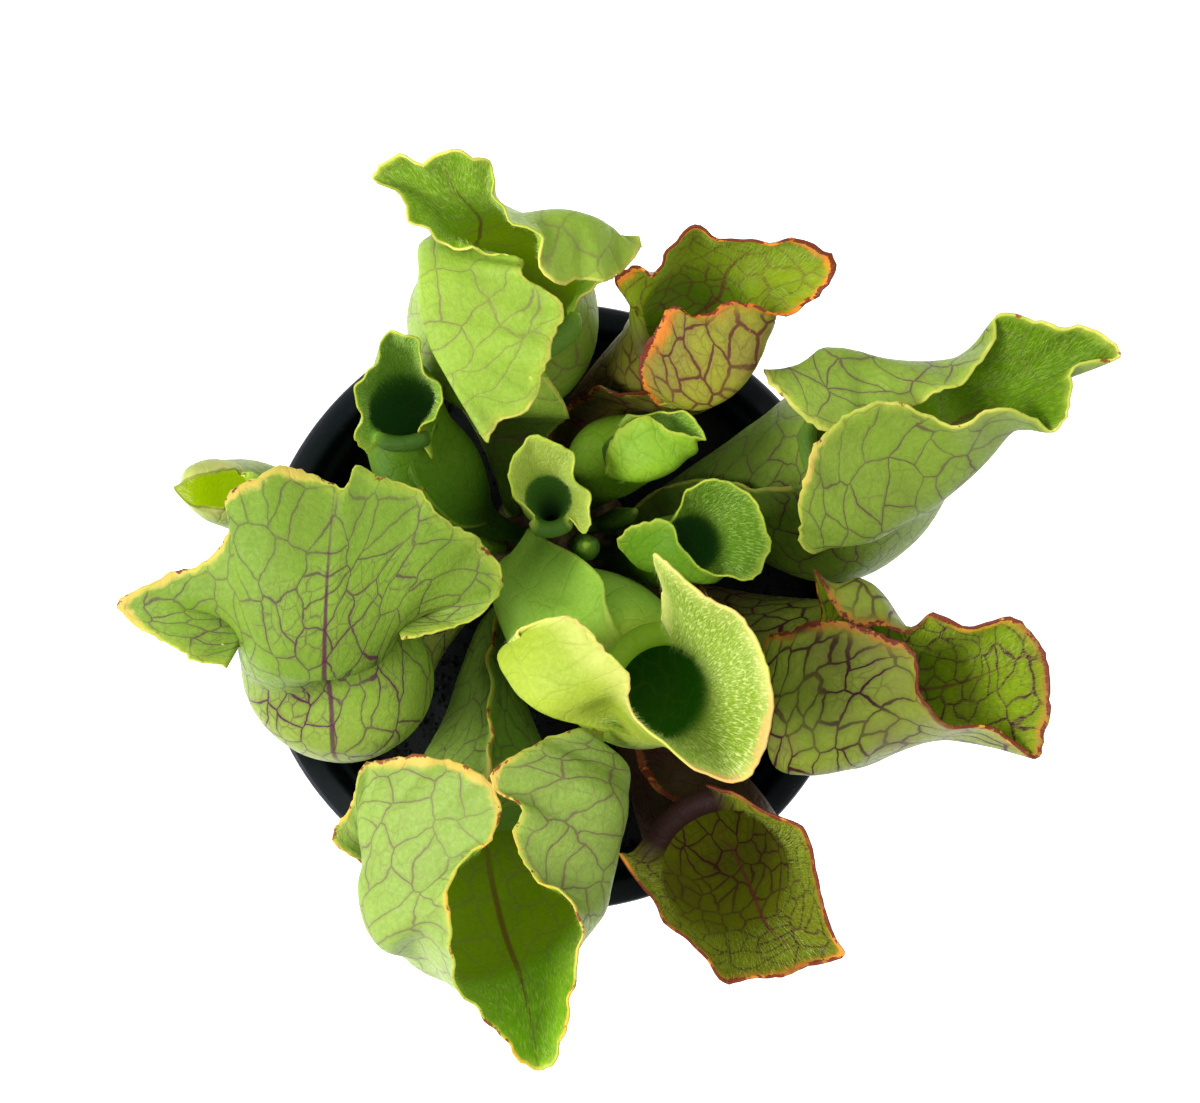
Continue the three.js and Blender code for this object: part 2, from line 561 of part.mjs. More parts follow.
function toGeometry(points, faces) {
  const geometry = new THREE.BufferGeometry();
  geometry.setAttribute("position", new THREE.Float32BufferAttribute(points.flatMap(toRow), 3));
  geometry.setIndex(faces.flat());
  geometry.computeVertexNormals();
  return geometry;
}

// ---- buds, pot, soil and crown --------------------------------------------------------------

function makeBud(bud) {
  const rows = bud.spine.map(([x, y, h, radius]) => [...toRow(planPoint(x, y, h)), radius]);
  const curve = smoothThrough(rows.map((row, i) => i), rows);
  const points = [];
  const faces = [];
  for (let i = 0; i <= budSteps; i += 1) {
    const [x, y, z, radius] = curve((i / budSteps) * (rows.length - 1));
    for (let j = 0; j < budSides; j += 1) {
      const angle = (2 * Math.PI * j) / budSides;
      points.push(new THREE.Vector3(x + radius * Math.cos(angle), y + radius * Math.sin(angle), z));
    }
  }
  const foot = points.push(toPoint(rows[0])) - 1;
  const tip = points.push(toPoint(rows[rows.length - 1]).setZ(rows[rows.length - 1][2] + 0.6)) - 1;
  const topRing = budSteps * budSides;
  for (let j = 0; j < budSides; j += 1) {
    const next = (j + 1) % budSides;
    for (let i = 0; i < budSteps; i += 1) {
      const low = i * budSides;
      const high = low + budSides;
      faces.push([low + j, low + next, high + next], [low + j, high + next, high + j]);
    }
    faces.push([foot, next, j], [tip, topRing + j, topRing + next]);
  }
  return toGeometry(points, faces);
}

function lathe(profile, sides) {
  const geometry = new THREE.LatheGeometry(profile.map(([r, z]) => new THREE.Vector2(r, z)), sides);
  geometry.rotateX(Math.PI / 2);
  return geometry;
}

function toManifold(geometry) {
  const position = geometry.getAttribute("position");
  const triangles = geometry.getIndex() ? geometry.getIndex().array : [...Array(position.count).keys()];
  const mesh = new wasm.Mesh({
    numProp: 3,
    vertProperties: Float32Array.from(position.array),
    triVerts: Uint32Array.from(triangles),
  });
  mesh.merge();
  return new wasm.Manifold(mesh);
}

function fromManifold(solid) {
  const mesh = solid.getMesh();
  const geometry = new THREE.BufferGeometry();
  geometry.setAttribute("position", new THREE.Float32BufferAttribute(mesh.vertProperties, 3));
  geometry.setIndex([...mesh.triVerts]);
  geometry.computeVertexNormals();
  return geometry;
}

function peg(from, to, radius, sides) {
  const axis = to.clone().sub(from);
  const geometry = new THREE.CylinderGeometry(radius, radius, axis.length(), sides);
  geometry.applyQuaternion(
    new THREE.Quaternion().setFromUnitVectors(new THREE.Vector3(0, 1, 0), axis.clone().normalize()),
  );
  geometry.translate(...toRow(from.clone().lerp(to, 0.5)));
  return toManifold(geometry);
}

const innerWall = [[43.6, 3], [55, 98.2]];
const potProfile = [
  [0, 0], [12, 0], [13, 1.4], [38.5, 1.4], [39.5, 0], [44.6, 0], [45.4, 1],
  [56.6, 92], [60.6, 93], [61.4, 101], [62.9, 102], [rimRadius, 103.4], [62.9, potHeight],
  [61.6, 104.9], [58.3, 103.9], [57.4, 102], [57, 99.4], innerWall[1], innerWall[0], [0, 3],
];

function makePot() {
  let body = toManifold(lathe(potProfile, potSides));
  for (let i = 0; i < drainHoleCount; i += 1) {
    const angle = (2 * Math.PI * i) / drainHoleCount;
    const x = drainHoleCircle * Math.cos(angle);
    const y = drainHoleCircle * Math.sin(angle);
    body = body.subtract(
      peg(new THREE.Vector3(x, y, -1), new THREE.Vector3(x, y, 5), drainHoleRadius, 12),
    );
  }
  return fromManifold(body);
}

function wallRadiusAt(z) {
  const [[lowRadius, low], [highRadius, high]] = innerWall;
  return lowRadius + ((highRadius - lowRadius) * (z - low)) / (high - low);
}

function makeSoil() {
  const clear = fitGap + 0.15;
  const body = lathe(
    [
      [0, soilBottom], [wallRadiusAt(soilBottom) - clear, soilBottom],
      [wallRadiusAt(soilTop - 1) - clear, soilTop - 1], [48, soilTop], [34, soilTop + 0.5], [0, soilTop],
    ],
    soilSides,
  );
  const recess = peg(
    new THREE.Vector3(crownCentre.x, crownCentre.y, crownBottom - fitGap),
    new THREE.Vector3(crownCentre.x, crownCentre.y, potHeight),
    crownRadius + fitGap + 0.2,
    crownSides,
  );
  return fromManifold(toManifold(body).subtract(recess).simplify(mergeWithin));
}

function makeCrown() {
  const body = lathe(
    [
      [0, crownBottom], [crownRadius - 2, crownBottom], [crownRadius, crownBottom + 4],
      [crownRadius, crownTop - 5], [crownRadius - 2.5, crownTop - 3], [9, crownTop - 1], [0, crownTop],
    ],
    crownSides,
  );
  body.translate(crownCentre.x, crownCentre.y, 0);
  let crown = toManifold(body);
  for (const leaf of [...Object.values(pitchers), ...Object.values(buds)]) {
    const foot = planPoint(...leaf.spine[0].slice(0, 3));
    const exit = planPoint(...leaf.spine[1].slice(0, 3));
    const along = exit.clone().sub(foot).normalize();
    const radius = Math.max(leaf.spine[0][3], leaf.spine[1][3]) + fitGap + 0.1;
    crown = crown.subtract(
      peg(foot.addScaledVector(along, -fitGap), exit.addScaledVector(along, 4), radius, 10),
    );
  }
  return fromManifold(crown.simplify(mergeWithin));
}

// ---- the plant ------------------------------------------------------------------------------

const plant = new THREE.Group();

function addPiece(name, geometry, color, roughness) {
  const material = new THREE.MeshStandardMaterial({ color, roughness, metalness: 0 });
  const mesh = new THREE.Mesh(geometry, material);
  mesh.name = name;
  plant.add(mesh);
}

addPiece("pot", makePot(), 0x17181a, 0.45);
addPiece("potting_soil", makeSoil(), 0x17120e, 0.95);
addPiece("rhizome", makeCrown(), 0x4a3a22, 0.85);
for (const [name, leaf] of Object.entries(pitchers)) {
  addPiece(name, makeCup(makeSkin(leaf), leaf.wall), leaf.color, 0.5);
}
for (const [name, bud] of Object.entries(buds)) {
  addPiece(name, makeBud(bud), bud.color, 0.5);
}

export default plant;
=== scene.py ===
# A purple pitcher plant in a round nursery pot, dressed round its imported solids.
import math
import bpy
import numpy as np
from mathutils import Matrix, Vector, noise as terrain


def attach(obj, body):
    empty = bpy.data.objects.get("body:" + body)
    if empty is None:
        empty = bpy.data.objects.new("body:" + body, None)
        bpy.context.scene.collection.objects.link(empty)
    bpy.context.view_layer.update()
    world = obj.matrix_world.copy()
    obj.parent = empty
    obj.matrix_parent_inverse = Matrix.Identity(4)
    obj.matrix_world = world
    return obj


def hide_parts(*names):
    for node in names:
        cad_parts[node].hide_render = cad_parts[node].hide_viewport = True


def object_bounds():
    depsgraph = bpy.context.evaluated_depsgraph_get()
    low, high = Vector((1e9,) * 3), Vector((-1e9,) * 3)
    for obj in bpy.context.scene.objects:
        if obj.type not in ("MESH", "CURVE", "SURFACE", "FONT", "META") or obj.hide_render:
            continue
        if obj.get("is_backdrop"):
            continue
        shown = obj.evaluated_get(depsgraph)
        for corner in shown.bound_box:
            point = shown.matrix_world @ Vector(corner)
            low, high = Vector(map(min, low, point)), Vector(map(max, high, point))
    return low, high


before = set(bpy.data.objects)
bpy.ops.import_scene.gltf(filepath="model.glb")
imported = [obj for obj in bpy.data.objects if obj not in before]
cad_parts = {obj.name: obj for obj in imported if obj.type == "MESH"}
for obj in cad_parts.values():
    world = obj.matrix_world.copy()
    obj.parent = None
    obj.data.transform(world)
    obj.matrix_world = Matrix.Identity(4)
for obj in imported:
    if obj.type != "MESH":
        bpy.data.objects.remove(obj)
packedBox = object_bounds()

mm = 0.001
squareMetre = 1e6  # in square millimetres
scene = bpy.context.scene
print("frame loaded:", len(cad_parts), "nodes")


# Curves and directions.

def ramp(value, low=0, high=1):  # eases from 0 at low to 1 at high
    u = np.clip((value - low) / (high - low), 0, 1)
    return u * u * (3 - 2 * u)


def unit(vectors):
    length = np.linalg.norm(vectors, axis=-1, keepdims=True)
    return vectors / np.maximum(length, 1e-9)


def dot(a, b):
    return (a * b).sum(axis=-1, keepdims=True)


def smoothThrough(knots, rows):  # a smooth curve through rows of numbers at rising knots
    knots = np.asarray(knots, float)
    rows = np.asarray(rows, float)
    step = np.diff(knots)
    chord = np.diff(rows, axis=0) / step[:, None]
    slope = np.empty_like(rows)
    slope[0] = chord[0]
    slope[-1] = chord[-1]
    before = step[:-1, None]
    after = step[1:, None]
    slope[1:-1] = (chord[:-1] * after + chord[1:] * before) / (before + after)

    def at(t):
        t = np.atleast_1d(t)
        i = np.clip(np.searchsorted(knots, t, side="right") - 1, 0, len(step) - 1)
        u = np.clip((t - knots[i]) / step[i], 0, 1)[:, None]
        span = step[i][:, None]
        rise = ramp(u)
        leave = u * (1 - u) ** 2 * span * slope[i]
        arrive = u * u * (u - 1) * span * slope[i + 1]
        return rows[i] * (1 - rise) + rows[i + 1] * rise + leave + arrive
    return at


def lengthsAlong(points):
    steps = np.linalg.norm(np.diff(points, axis=0), axis=1)
    return np.concatenate([[0], np.cumsum(steps)])


# The leaves are laid out on a plan at the level of the pot rim, as it looks from above the pot.
viewpoint = {"x": 8.8, "y": 11.6, "height": 480}
potHeight = 105


def planPoint(x, y, h):
    k = (viewpoint["height"] - h) / viewpoint["height"]
    return [
        viewpoint["x"] + (x - viewpoint["x"]) * k,
        viewpoint["y"] + (y - viewpoint["y"]) * k,
        potHeight + h,
    ]


# Node trees.

def linear(red, green, blue):  # screen values 0 to 255 as a linear colour
    def one(value):
        value = value / 255
        return value / 12.92 if value <= 0.04045 else ((value + 0.055) / 1.055) ** 2.4
    return (one(red), one(green), one(blue), 1.0)


def feed(tree, source, target):  # source is a socket or a plain value
    if isinstance(source, bpy.types.NodeSocket):
        tree.links.new(source, target)
    else:
        target.default_value = source


def addNode(tree, kind, inputs=None, **values):
    node = tree.nodes.new(kind)
    for name, value in values.items():
        setattr(node, name, value)
    for key, source in (inputs or {}).items():
        feed(tree, source, node.inputs[key])
    return node


def maths(tree, operation, a, b=0.0, c=0.0, clamp=False):
    inputs = {0: a, 1: b, 2: c}
    return addNode(tree, "ShaderNodeMath", inputs, operation=operation, use_clamp=clamp).outputs[0]


def times(tree, product, *factors):
    for factor in factors:
        product = maths(tree, "MULTIPLY", product, factor)
    return product


def vectorMaths(tree, operation, *values):
    return addNode(tree, "ShaderNodeVectorMath", dict(enumerate(values)), operation=operation).outputs[0]


def rangeOf(tree, value, low, high, toLow=0.0, toHigh=1.0):  # smooth step between low and high
    inputs = {"Value": value, "From Min": low, "From Max": high, "To Min": toLow, "To Max": toHigh}
    return addNode(tree, "ShaderNodeMapRange", inputs, interpolation_type="SMOOTHSTEP").outputs["Result"]


def mixColour(tree, share, a, b, blend="MIX"):
    inputs = {0: share, 6: a, 7: b}
    node = addNode(tree, "ShaderNodeMix", inputs, data_type="RGBA", blend_type=blend, clamp_factor=True)
    return node.outputs[2]


def noise(tree, vector, scale, detail=2.0, roughness=0.5, output="Fac"):
    inputs = {"Vector": vector, "Scale": scale, "Detail": detail, "Roughness": roughness}
    return addNode(tree, "ShaderNodeTexNoise", inputs).outputs[output]


def attribute(tree, name, kind="Fac"):
    return addNode(tree, "ShaderNodeAttribute", attribute_name=name).outputs[kind]


def newGroup(name, inputs, outputs, kind="ShaderNodeTree"):
    tree = bpy.data.node_groups.new(name, kind)
    keys = {}
    for title, value, start in inputs:
        socket = tree.interface.new_socket(name=title, in_out="INPUT", socket_type="NodeSocket" + value)
        if start is not None:
            socket.default_value = start
        keys[title] = socket.identifier
    for title, value in outputs:
        tree.interface.new_socket(name=title, in_out="OUTPUT", socket_type="NodeSocket" + value)
    return tree, keys, addNode(tree, "NodeGroupInput").outputs, addNode(tree, "NodeGroupOutput").inputs


def useGroup(tree, group, **values):
    node = addNode(tree, "ShaderNodeGroup", node_tree=group)
    for socket in node.inputs:
        key = socket.name.replace(" ", "")
        key = key[0].lower() + key[1:]
        if key in values:
            feed(tree, values.pop(key), socket)
    assert not values, values
    return node.outputs


def newMaterial(name, **fixed):
    material = bpy.data.materials.new(name)
    material.use_nodes = True
    tree = material.node_tree
    shader = tree.nodes["Principled BSDF"]
    for title, value in fixed.items():
        shader.inputs[title.replace("_", " ")].default_value = value
    return material, tree, shader


def addBump(tree, shader, height, strength, distance):
    bump = addNode(tree, "ShaderNodeBump", {"Strength": strength, "Distance": distance, "Height": height})
    feed(tree, bump.outputs["Normal"], shader.inputs["Normal"])


def objectPlace(tree):
    return addNode(tree, "ShaderNodeTexCoord").outputs["Object"]


# Shared surface effects. Sizes given to them are in millimetres, inner scales are per metre.

def makeVeinNet():  # long cells of veins laid out on the flattened leaf
    tree, _, given, out = newGroup(
        "veinNet",
        [("Vector", "Vector", None), ("Sheet", "Vector", None), ("Cell Size", "Float", 5.0),
         ("Vein Width", "Float", 0.35), ("Fine", "Float", 0.4)],
        [("Veins", "Float"), ("Relief", "Float")],
    )
    place = given["Vector"]
    perMetre = maths(tree, "DIVIDE", 1000.0, given["Cell Size"])

    def bend(source, scale, amount):
        shift = noise(tree, place, scale, output="Color")
        lean = vectorMaths(tree, "SUBTRACT", shift, (0.5, 0.5, 0.5))
        return vectorMaths(tree, "MULTIPLY_ADD", lean, (amount, amount, amount), source)

    sheet = bend(bend(given["Sheet"], 70.0, 0.008), 420.0, 0.0012)
    long = vectorMaths(tree, "MULTIPLY", sheet, (1.1, 0.8, 0.0))

    def net(scale, width):
        cells = addNode(
            tree, "ShaderNodeTexVoronoi", {"Vector": long, "Scale": scale},
            feature="DISTANCE_TO_EDGE", voronoi_dimensions="2D")
        away = times(tree, cells.outputs["Distance"], maths(tree, "DIVIDE", 1000.0, scale))
        line = rangeOf(tree, away, times(tree, width, 0.3), width, 1.0, 0.0)
        halo = rangeOf(tree, away, 0.0, times(tree, width, 4.0), 0.3, 0.0)
        return maths(tree, "MAXIMUM", line, halo)

    swell = noise(tree, place, 95.0, 1.0)
    width = times(tree, given["Vein Width"], rangeOf(tree, swell, 0.35, 0.65, 0.65, 1.15))
    coarse = net(perMetre, width)
    fine = net(times(tree, perMetre, 2.1), times(tree, width, 0.55))
    patch = noise(tree, place, 60.0, 1.0)
    coarse = times(tree, coarse, rangeOf(tree, patch, 0.35, 0.6, 0.62, 1.0))
    fine = times(tree, fine, rangeOf(tree, patch, 0.42, 0.62, 0.1, 1.0), given["Fine"])
    feed(tree, maths(tree, "MAXIMUM", coarse, fine), out["Veins"])
    feed(tree, coarse, out["Relief"])
    return tree


def makeMottle():  # fine cloudy grain of a living surface
    tree, _, given, out = newGroup(
        "leafMottle",
        [("Vector", "Vector", None), ("Cloud Size", "Float", 14.0), ("Grain Size", "Float", 0.9)],
        [("Cloud", "Float"), ("Grain", "Float")],
    )
    for title, size, roughness in [("Cloud", "Cloud Size", 0.5), ("Grain", "Grain Size", 0.65)]:
        scale = maths(tree, "DIVIDE", 1000.0, given[size])
        feed(tree, rangeOf(tree, noise(tree, given["Vector"], scale, 3.0, roughness), 0.3, 0.7), out[title])
    return tree


def makeMarginBand():  # a band along a free edge, with an uneven inner limit and dry patches
    tree, _, given, out = newGroup(
        "marginBand",
        [("Vector", "Vector", None), ("Reach", "Float", 10.0), ("Width", "Float", 1.0),
         ("Dry", "Float", 0.3), ("Dry Reach", "Float", 1.5)],
        [("Band", "Float"), ("Dryness", "Float"), ("Blend", "Float")],
    )
    place, reach = given["Vector"], given["Reach"]
    wobble = noise(tree, place, 110.0, 4.0, 0.65)
    limit = times(tree, maths(tree, "SUBTRACT", wobble, 0.5), 4.5)
    limit = times(tree, maths(tree, "ADD", limit, 1.0), given["Width"])
    feed(tree, rangeOf(tree, reach, times(tree, limit, 0.3), limit, 1.0, 0.0), out["Band"])
    spots = noise(tree, place, 210.0, 4.0, 0.75)
    near = rangeOf(tree, reach, 0.0, given["Dry Reach"], 1.0, 0.0)
    level = maths(tree, "SUBTRACT", 0.8, times(tree, given["Dry"], near, 0.33))
    feed(tree, rangeOf(tree, spots, maths(tree, "SUBTRACT", level, 0.06), level), out["Dryness"])
    stretch = noise(tree, place, 90.0, 3.0)
    feed(tree, rangeOf(tree, stretch, 0.42, 0.58), out["Blend"])
    return tree


def makeHairStreaks():  # fine pale strokes that run from the free edge down towards the mouth
    tree, _, given, out = newGroup(
        "hairStreaks", [("Sheet", "Vector", None), ("Fineness", "Float", 3000.0)], [("Streaks", "Float")])
    strokes = vectorMaths(tree, "MULTIPLY", given["Sheet"], (1.0, 0.13, 0.0))
    stroke = noise(tree, strokes, given["Fineness"], 2.0, 0.6)
    feed(tree, rangeOf(tree, stroke, 0.48, 0.66), out["Streaks"])
    return tree


veinNet = makeVeinNet()
leafMottle = makeMottle()
marginBand = makeMarginBand()
hairStreaks = makeHairStreaks()


# The pitcher leaves. Lengths are in millimetres. A point's rise is 0 at the foot, 1 at the mouth and
# 2 at the free margin.

bigLeaf = {
    "wall": 0.9,
    "lipRadius": 1.3,
    "arch": 0.15,  # how far the hood bulges, as a share of its height, where the table gives no bend
    "solidTo": 0.14,  # rise at which the hollow starts
    "tubeRows": 38,
    "hoodRows": 22,
    "columnSpacing": 1.15,
    "hairs": 2.6,  # for each square millimetre
    "hairLength": 1.5,
    "ruffle": 0.3,
    "scallop": 0.45,
}
smallLeaf = {
    "wall": 0.7,
    "lipRadius": 0.8,
    "arch": 0.1,
    "solidTo": 0.2,
    "tubeRows": 30,
    "hoodRows": 16,
    "columnSpacing": 0.9,
    "hairs": 3.2,
    "hairLength": 1.0,
    "ruffle": 0.42,
    "scallop": 0.3,
}
everyLeaf = {
    "wingRoot": 1.0,  # half the width of the strip that the wing rises from
    "wingRootShare": 0.35,
    "wingRipple": 0.5,
    "wingWaves": 37,
    "lipRoll": 1.15 * math.pi,
    "frontEdge": math.radians(172),  # where the hood's columns end, from the back of the mouth
    "settleFrom": 0.45,  # rise from which the columns turn to the places that the hood gives them
    "belowMouth": 0.93,  # rise at which the hood's curves take their direction
    "rowSpacing": 0.92,  # below 1, rows lie closer together towards the mouth
    "hoodSpacing": 0.93,
    "dentSpread": 0.8,
    "ruffleFrom": 1.55,
    "scallopFrom": 1.3,
    "nicks": 0.3,
    "nickDrop": 0.15,
    "thinFrom": 1.2,
    "edgeThinning": 0.45,
    "edgeRounding": 0.35,
    "hairLift": 0.75,
    "farAway": 20.0,  # the distance that is written where no free edge is near
    "evenWidth": 0.6,  # how far the leaf laid flat takes the width that it has part way up the hood
    "evenWidthAt": 0.45,  # share of the hood's rows
}

# waves along the margin: [length, turn for each leaf, height]
edgeWaves = {
    "ruffle": [[1.45, 1, 0.5], [0.83, 2.3, 0.3], [3.1, 5, 0.6]],
    "scallop": [[2.6, 1.3, 0.6], [1.7, 4, 0.4]],
    "fineNick": [[0.71, 3, 1]],
    "nickSpread": [[2.3, 1, 1]],
    "tinyNick": [[0.39, 1, 0.5]],
}

# Looks: colours as red, green and blue screen values, and how strongly and how wide veins, margins,
# dryness and reddening show.
freshLook = {
    "slot": "leaf_green",
    "outer": (132, 164, 56),
    "inner": (88, 124, 8),
    "body": (96, 126, 40),
    "bodyFrom": 0.25,
    "bodyTo": 1.0,
    "tube": (84, 116, 6),
    # deep: painted shade, the tube's inside darkened towards the foot up to the rise deepTo
    "deep": (16, 34, 4),
    "deepTo": 0.35,
    "vein": (84, 38, 60),
    "veins": 0.85,
    "innerVeins": 0.3,
    "fineVeins": 0.4,
    "lowVeins": 1.0,
    "midrib": 0.7,
    "midribWidth": 0.7,
    "midribColour": (86, 36, 34),
    "margin": (200, 192, 92),
    "marginAlt": (164, 172, 66),
    "marginWidth": 0.6,
    "wingMargin": 0.7,
    "flush": 0.35,
    "flushReach": 3.0,
    "flushColour": (186, 196, 70),
    "dry": 0.5,
    "dryReach": 1.6,
    "dryColour": (128, 72, 34),
    "tinge": 0.08,
    "tingeColour": (116, 84, 70),
    "cell": 7.0,
    "veinWidth": 0.36,
    "gloss": 0.14,
    # glow: emission strength, painted light for light that comes through the thin wall
    "glow": 0.34,
    "glowFrom": 0.4,
    "hair": "green",
    # lip: the rolled lip's colour, darkened as painted shade where it lies under the hood
    "lip": (70, 98, 28),
    "streaks": 0.4,
    "streakColour": (146, 184, 52),
    "agedColour": (204, 172, 84),
}
redLook = {
    **freshLook,
    "slot": "leaf_red_veined",
    "lip": (70, 66, 30),
    "streaks": 0.22,
    "streakColour": (156, 170, 60),
    "agedColour": (214, 120, 44),
    "vein": (74, 26, 32),
    "veins": 0.8,
    "innerVeins": 0.7,
    "margin": (128, 56, 30),
    "marginAlt": (206, 122, 34),
    "marginWidth": 1.1,
    "flush": 0.55,
    "flushReach": 4.0,
    "flushColour": (184, 118, 40),
    "dry": 0.9,
    "dryReach": 2.4,
    "dryColour": (104, 44, 28),
    "tinge": 0.3,
    "cell": 5.2,
    "veinWidth": 0.5,
}
brownLook = {
    **redLook,
    "slot": "leaf_brown",
    "outer": (70, 54, 34),
    "inner": (96, 104, 14),
    "body": (44, 34, 24),
    "tube": (86, 92, 12),
    "deep": (40, 34, 10),
    "deepTo": 0.15,
    "glow": 0.5,
    "glowFrom": 0.2,
    "vein": (52, 20, 22),
    "innerVeins": 0.9,
    "margin": (120, 66, 34),
    "marginAlt": (204, 128, 50),
    "marginWidth": 1.5,
    "tinge": 0.6,
    "tingeColour": (50, 28, 24),
    "lip": (36, 20, 18),
}
limeLook = {
    **freshLook,
    "slot": "leaf_lime",
    "outer": (166, 184, 60),
    "inner": (126, 156, 26),
    "body": (112, 146, 36),
    "tube": (44, 104, 10),
    "deep": (10, 44, 4),
    "deepTo": 0.45,
    "glow": 0.22,
    "glowFrom": 0.1,
    "flush": 0.7,
    "flushReach": 8.0,
    "flushColour": (206, 204, 116),
    "lip": (104, 138, 26),
    "streaks": 0.6,
    "streakColour": (220, 228, 146),
    "agedColour": (206, 160, 92),
    "hair": "pale",
    "wingMargin": 0.15,
    "vein": (120, 140, 40),
    "veins": 0.15,
    "innerVeins": 0.1,
    "midrib": 0.0,
    "margin": (208, 186, 106),
    "marginAlt": (196, 200, 88),
    "marginWidth": 0.9,
    "dry": 0.1,
}
youngLook = {
    **freshLook,
    "slot": "leaf_young",
    "outer": (98, 140, 28),
    "inner": (96, 142, 30),
    # body: darkened as painted shade, since these leaves stand under the big hoods
    "body": (46, 84, 26),
    "tube": (34, 78, 26),
    "deep": (14, 40, 18),
    "deepTo": 0.4,
    "glow": 0.22,
    "glowFrom": 0.1,
    "hair": "pale",
    "wingMargin": 0.3,
    # lip: darkened as painted shade where it lies under the hood
    "lip": (54, 84, 22),
    "streaks": 0.5,
    "streakColour": (156, 184, 88),
    "vein": (84, 96, 36),
    "veins": 0.15,
    "innerVeins": 0.1,
    "midrib": 0.0,
    "margin": (168, 176, 60),
    "marginAlt": (140, 160, 48),
    "marginWidth": 0.45,
    "dry": 0.1,
    "cell": 4.0,
    "veinWidth": 0.3,
}

# spine:  [x, y, h, radius across, radius front to back] from the foot in the crown to the mouth
# back:   azimuth the back of the mouth faces, degrees from +X
# wing:   [share of the length, width, lean in degrees]
# hood:   [angle round the mouth from its back, margin x, y, h, and where it is bent x, y, h]
# dents:  [share of the length, reach, depth, angle round the tube], a bulge where the depth is negative
# agedAt: [x, y, reach] of the wide dry stretches of the margin

pitchers = {}
pitchers["pitcher_north_west"] = {
    **bigLeaf,
    "ruffle": 1.2,
    "scallop": 1.6,
    "look": {
        **freshLook, "outer": (146, 176, 62), "inner": (104, 144, 14), "tube": (122, 152, 8),
        "vein": (112, 66, 76), "veins": 0.5, "cell": 8.0, "dry": 0.25, "glow": 0.46, "hair": "pale",
        "streaks": 0.45, "streakColour": (170, 200, 76),
    },
    "back": 121,
    "spine": [
        [-9.5, 20, -17, 1.8], [-9.5, 21.5, -8, 1.9], [-10.5, 28.5, -3, 3], [-11.5, 38, 2, 6],
        [-12, 50.5, 13, 13], [-11.5, 58.5, 27, 18.7], [-10.5, 65, 40, 16.5, 14], [-10, 68, 47, 13.5],
    ],
    "wing": [[0.12, 0, -60], [0.3, 7, -75], [0.45, 11, -75], [0.65, 9, -75], [0.9, 0, -60]],
    "hood": [
        [135, -26.5, 58, 54, -20, 56, 54], [126, -19, 45, 57, -22.5, 55.5, 56],
        [118, -14.5, 35, 57, -26, 56.5, 57], [108, -3, 48, 61, -28, 59.5, 58],
        [96, 0.3, 60.5, 63, -29, 64.5, 57], [82, -4.5, 67.5, 64, -29, 70, 56],
        [68, -10, 73.5, 60, -29, 74.5, 52], [54, -19, 73, 60, -26.5, 77, 50],
        [42, -27, 78.5, 61, -25.5, 79.5, 51], [30, -38, 89.5, 68, -27.5, 84.5, 54],
        [15, -34, 93, 74, -25.5, 87, 60], [0, -24.5, 95, 76, -21.5, 88, 60],
        [-15, -16.5, 93.5, 74, -16.5, 87, 60], [-30, -13, 89.5, 70, -13, 85.5, 58],
        [-45, -11, 83, 66, -10.5, 83, 56], [-56, -5, 77.5, 68, -7.5, 82, 58],
        [-68, -2, 70.5, 68, -1.5, 82.5, 60], [-80, 6.5, 67, 63, 4.5, 82, 60],
        [-92, 13, 70, 58, 10, 80, 57], [-104, 18.5, 78, 55, 11.5, 77, 52], [-120, 9, 66, 50],
        [-135, 1.5, 61, 48],
    ],
}
pitchers["pitcher_north"] = {
    **bigLeaf,
    "agedAt": [[28, 78, 8], [54, 75, 8], [16, 68, 6], [19, 54, 8]],
    "ruffle": 0.6,
    "look": {
        **redLook, "outer": (150, 150, 48), "inner": (118, 140, 14), "body": (62, 58, 30),
        "vein": (84, 28, 34), "veins": 0.9, "tinge": 0.3, "glow": 0.46, "margin": (186, 92, 36),
    },
    "lipRadius": 1.1,
    "back": 55,
    "spine": [
        [-4.5, 22.5, -17, 1.8], [-3.5, 24.5, -8, 2], [-0.5, 31.5, -4, 3], [5, 39.5, 2, 4.5],
        [11.5, 45, 9, 6.5], [17.5, 49, 18, 8.5], [24.5, 52, 28, 12], [28, 56, 38, 12], [29, 60, 45, 11],
    ],
    "wing": [[0.1, 0, 40], [0.3, 4, 60], [0.55, 6, 60], [0.75, 6, 60], [0.93, 0, 40]],
    "hood": [
        [135, 16, 64, 46], [115, 12, 68.5, 52], [95, 17, 72, 56], [75, 19.5, 69, 60], [55, 22.5, 73, 66],
        [38, 27.5, 80, 71], [20, 33.5, 77, 70], [5, 41.5, 76, 70], [-12, 50, 77, 70], [-28, 57, 73, 66],
        [-42, 57.5, 69, 62], [-56, 50, 61, 60, 46, 64, 56], [-68, 42.5, 62, 62, 45, 59.5, 58],
        [-80, 35.5, 63.5, 62, 43.5, 56, 58], [-92, 29, 60.5, 61, 42.5, 52.5, 57],
        [-104, 24.5, 62.5, 61, 40.5, 48.5, 56], [-114, 19.5, 57, 60, 37, 44.5, 54],
        [-124, 17, 49.5, 56, 31.5, 41.5, 51], [-135, 20, 42, 49, 26.5, 41.5, 46],
    ],
}
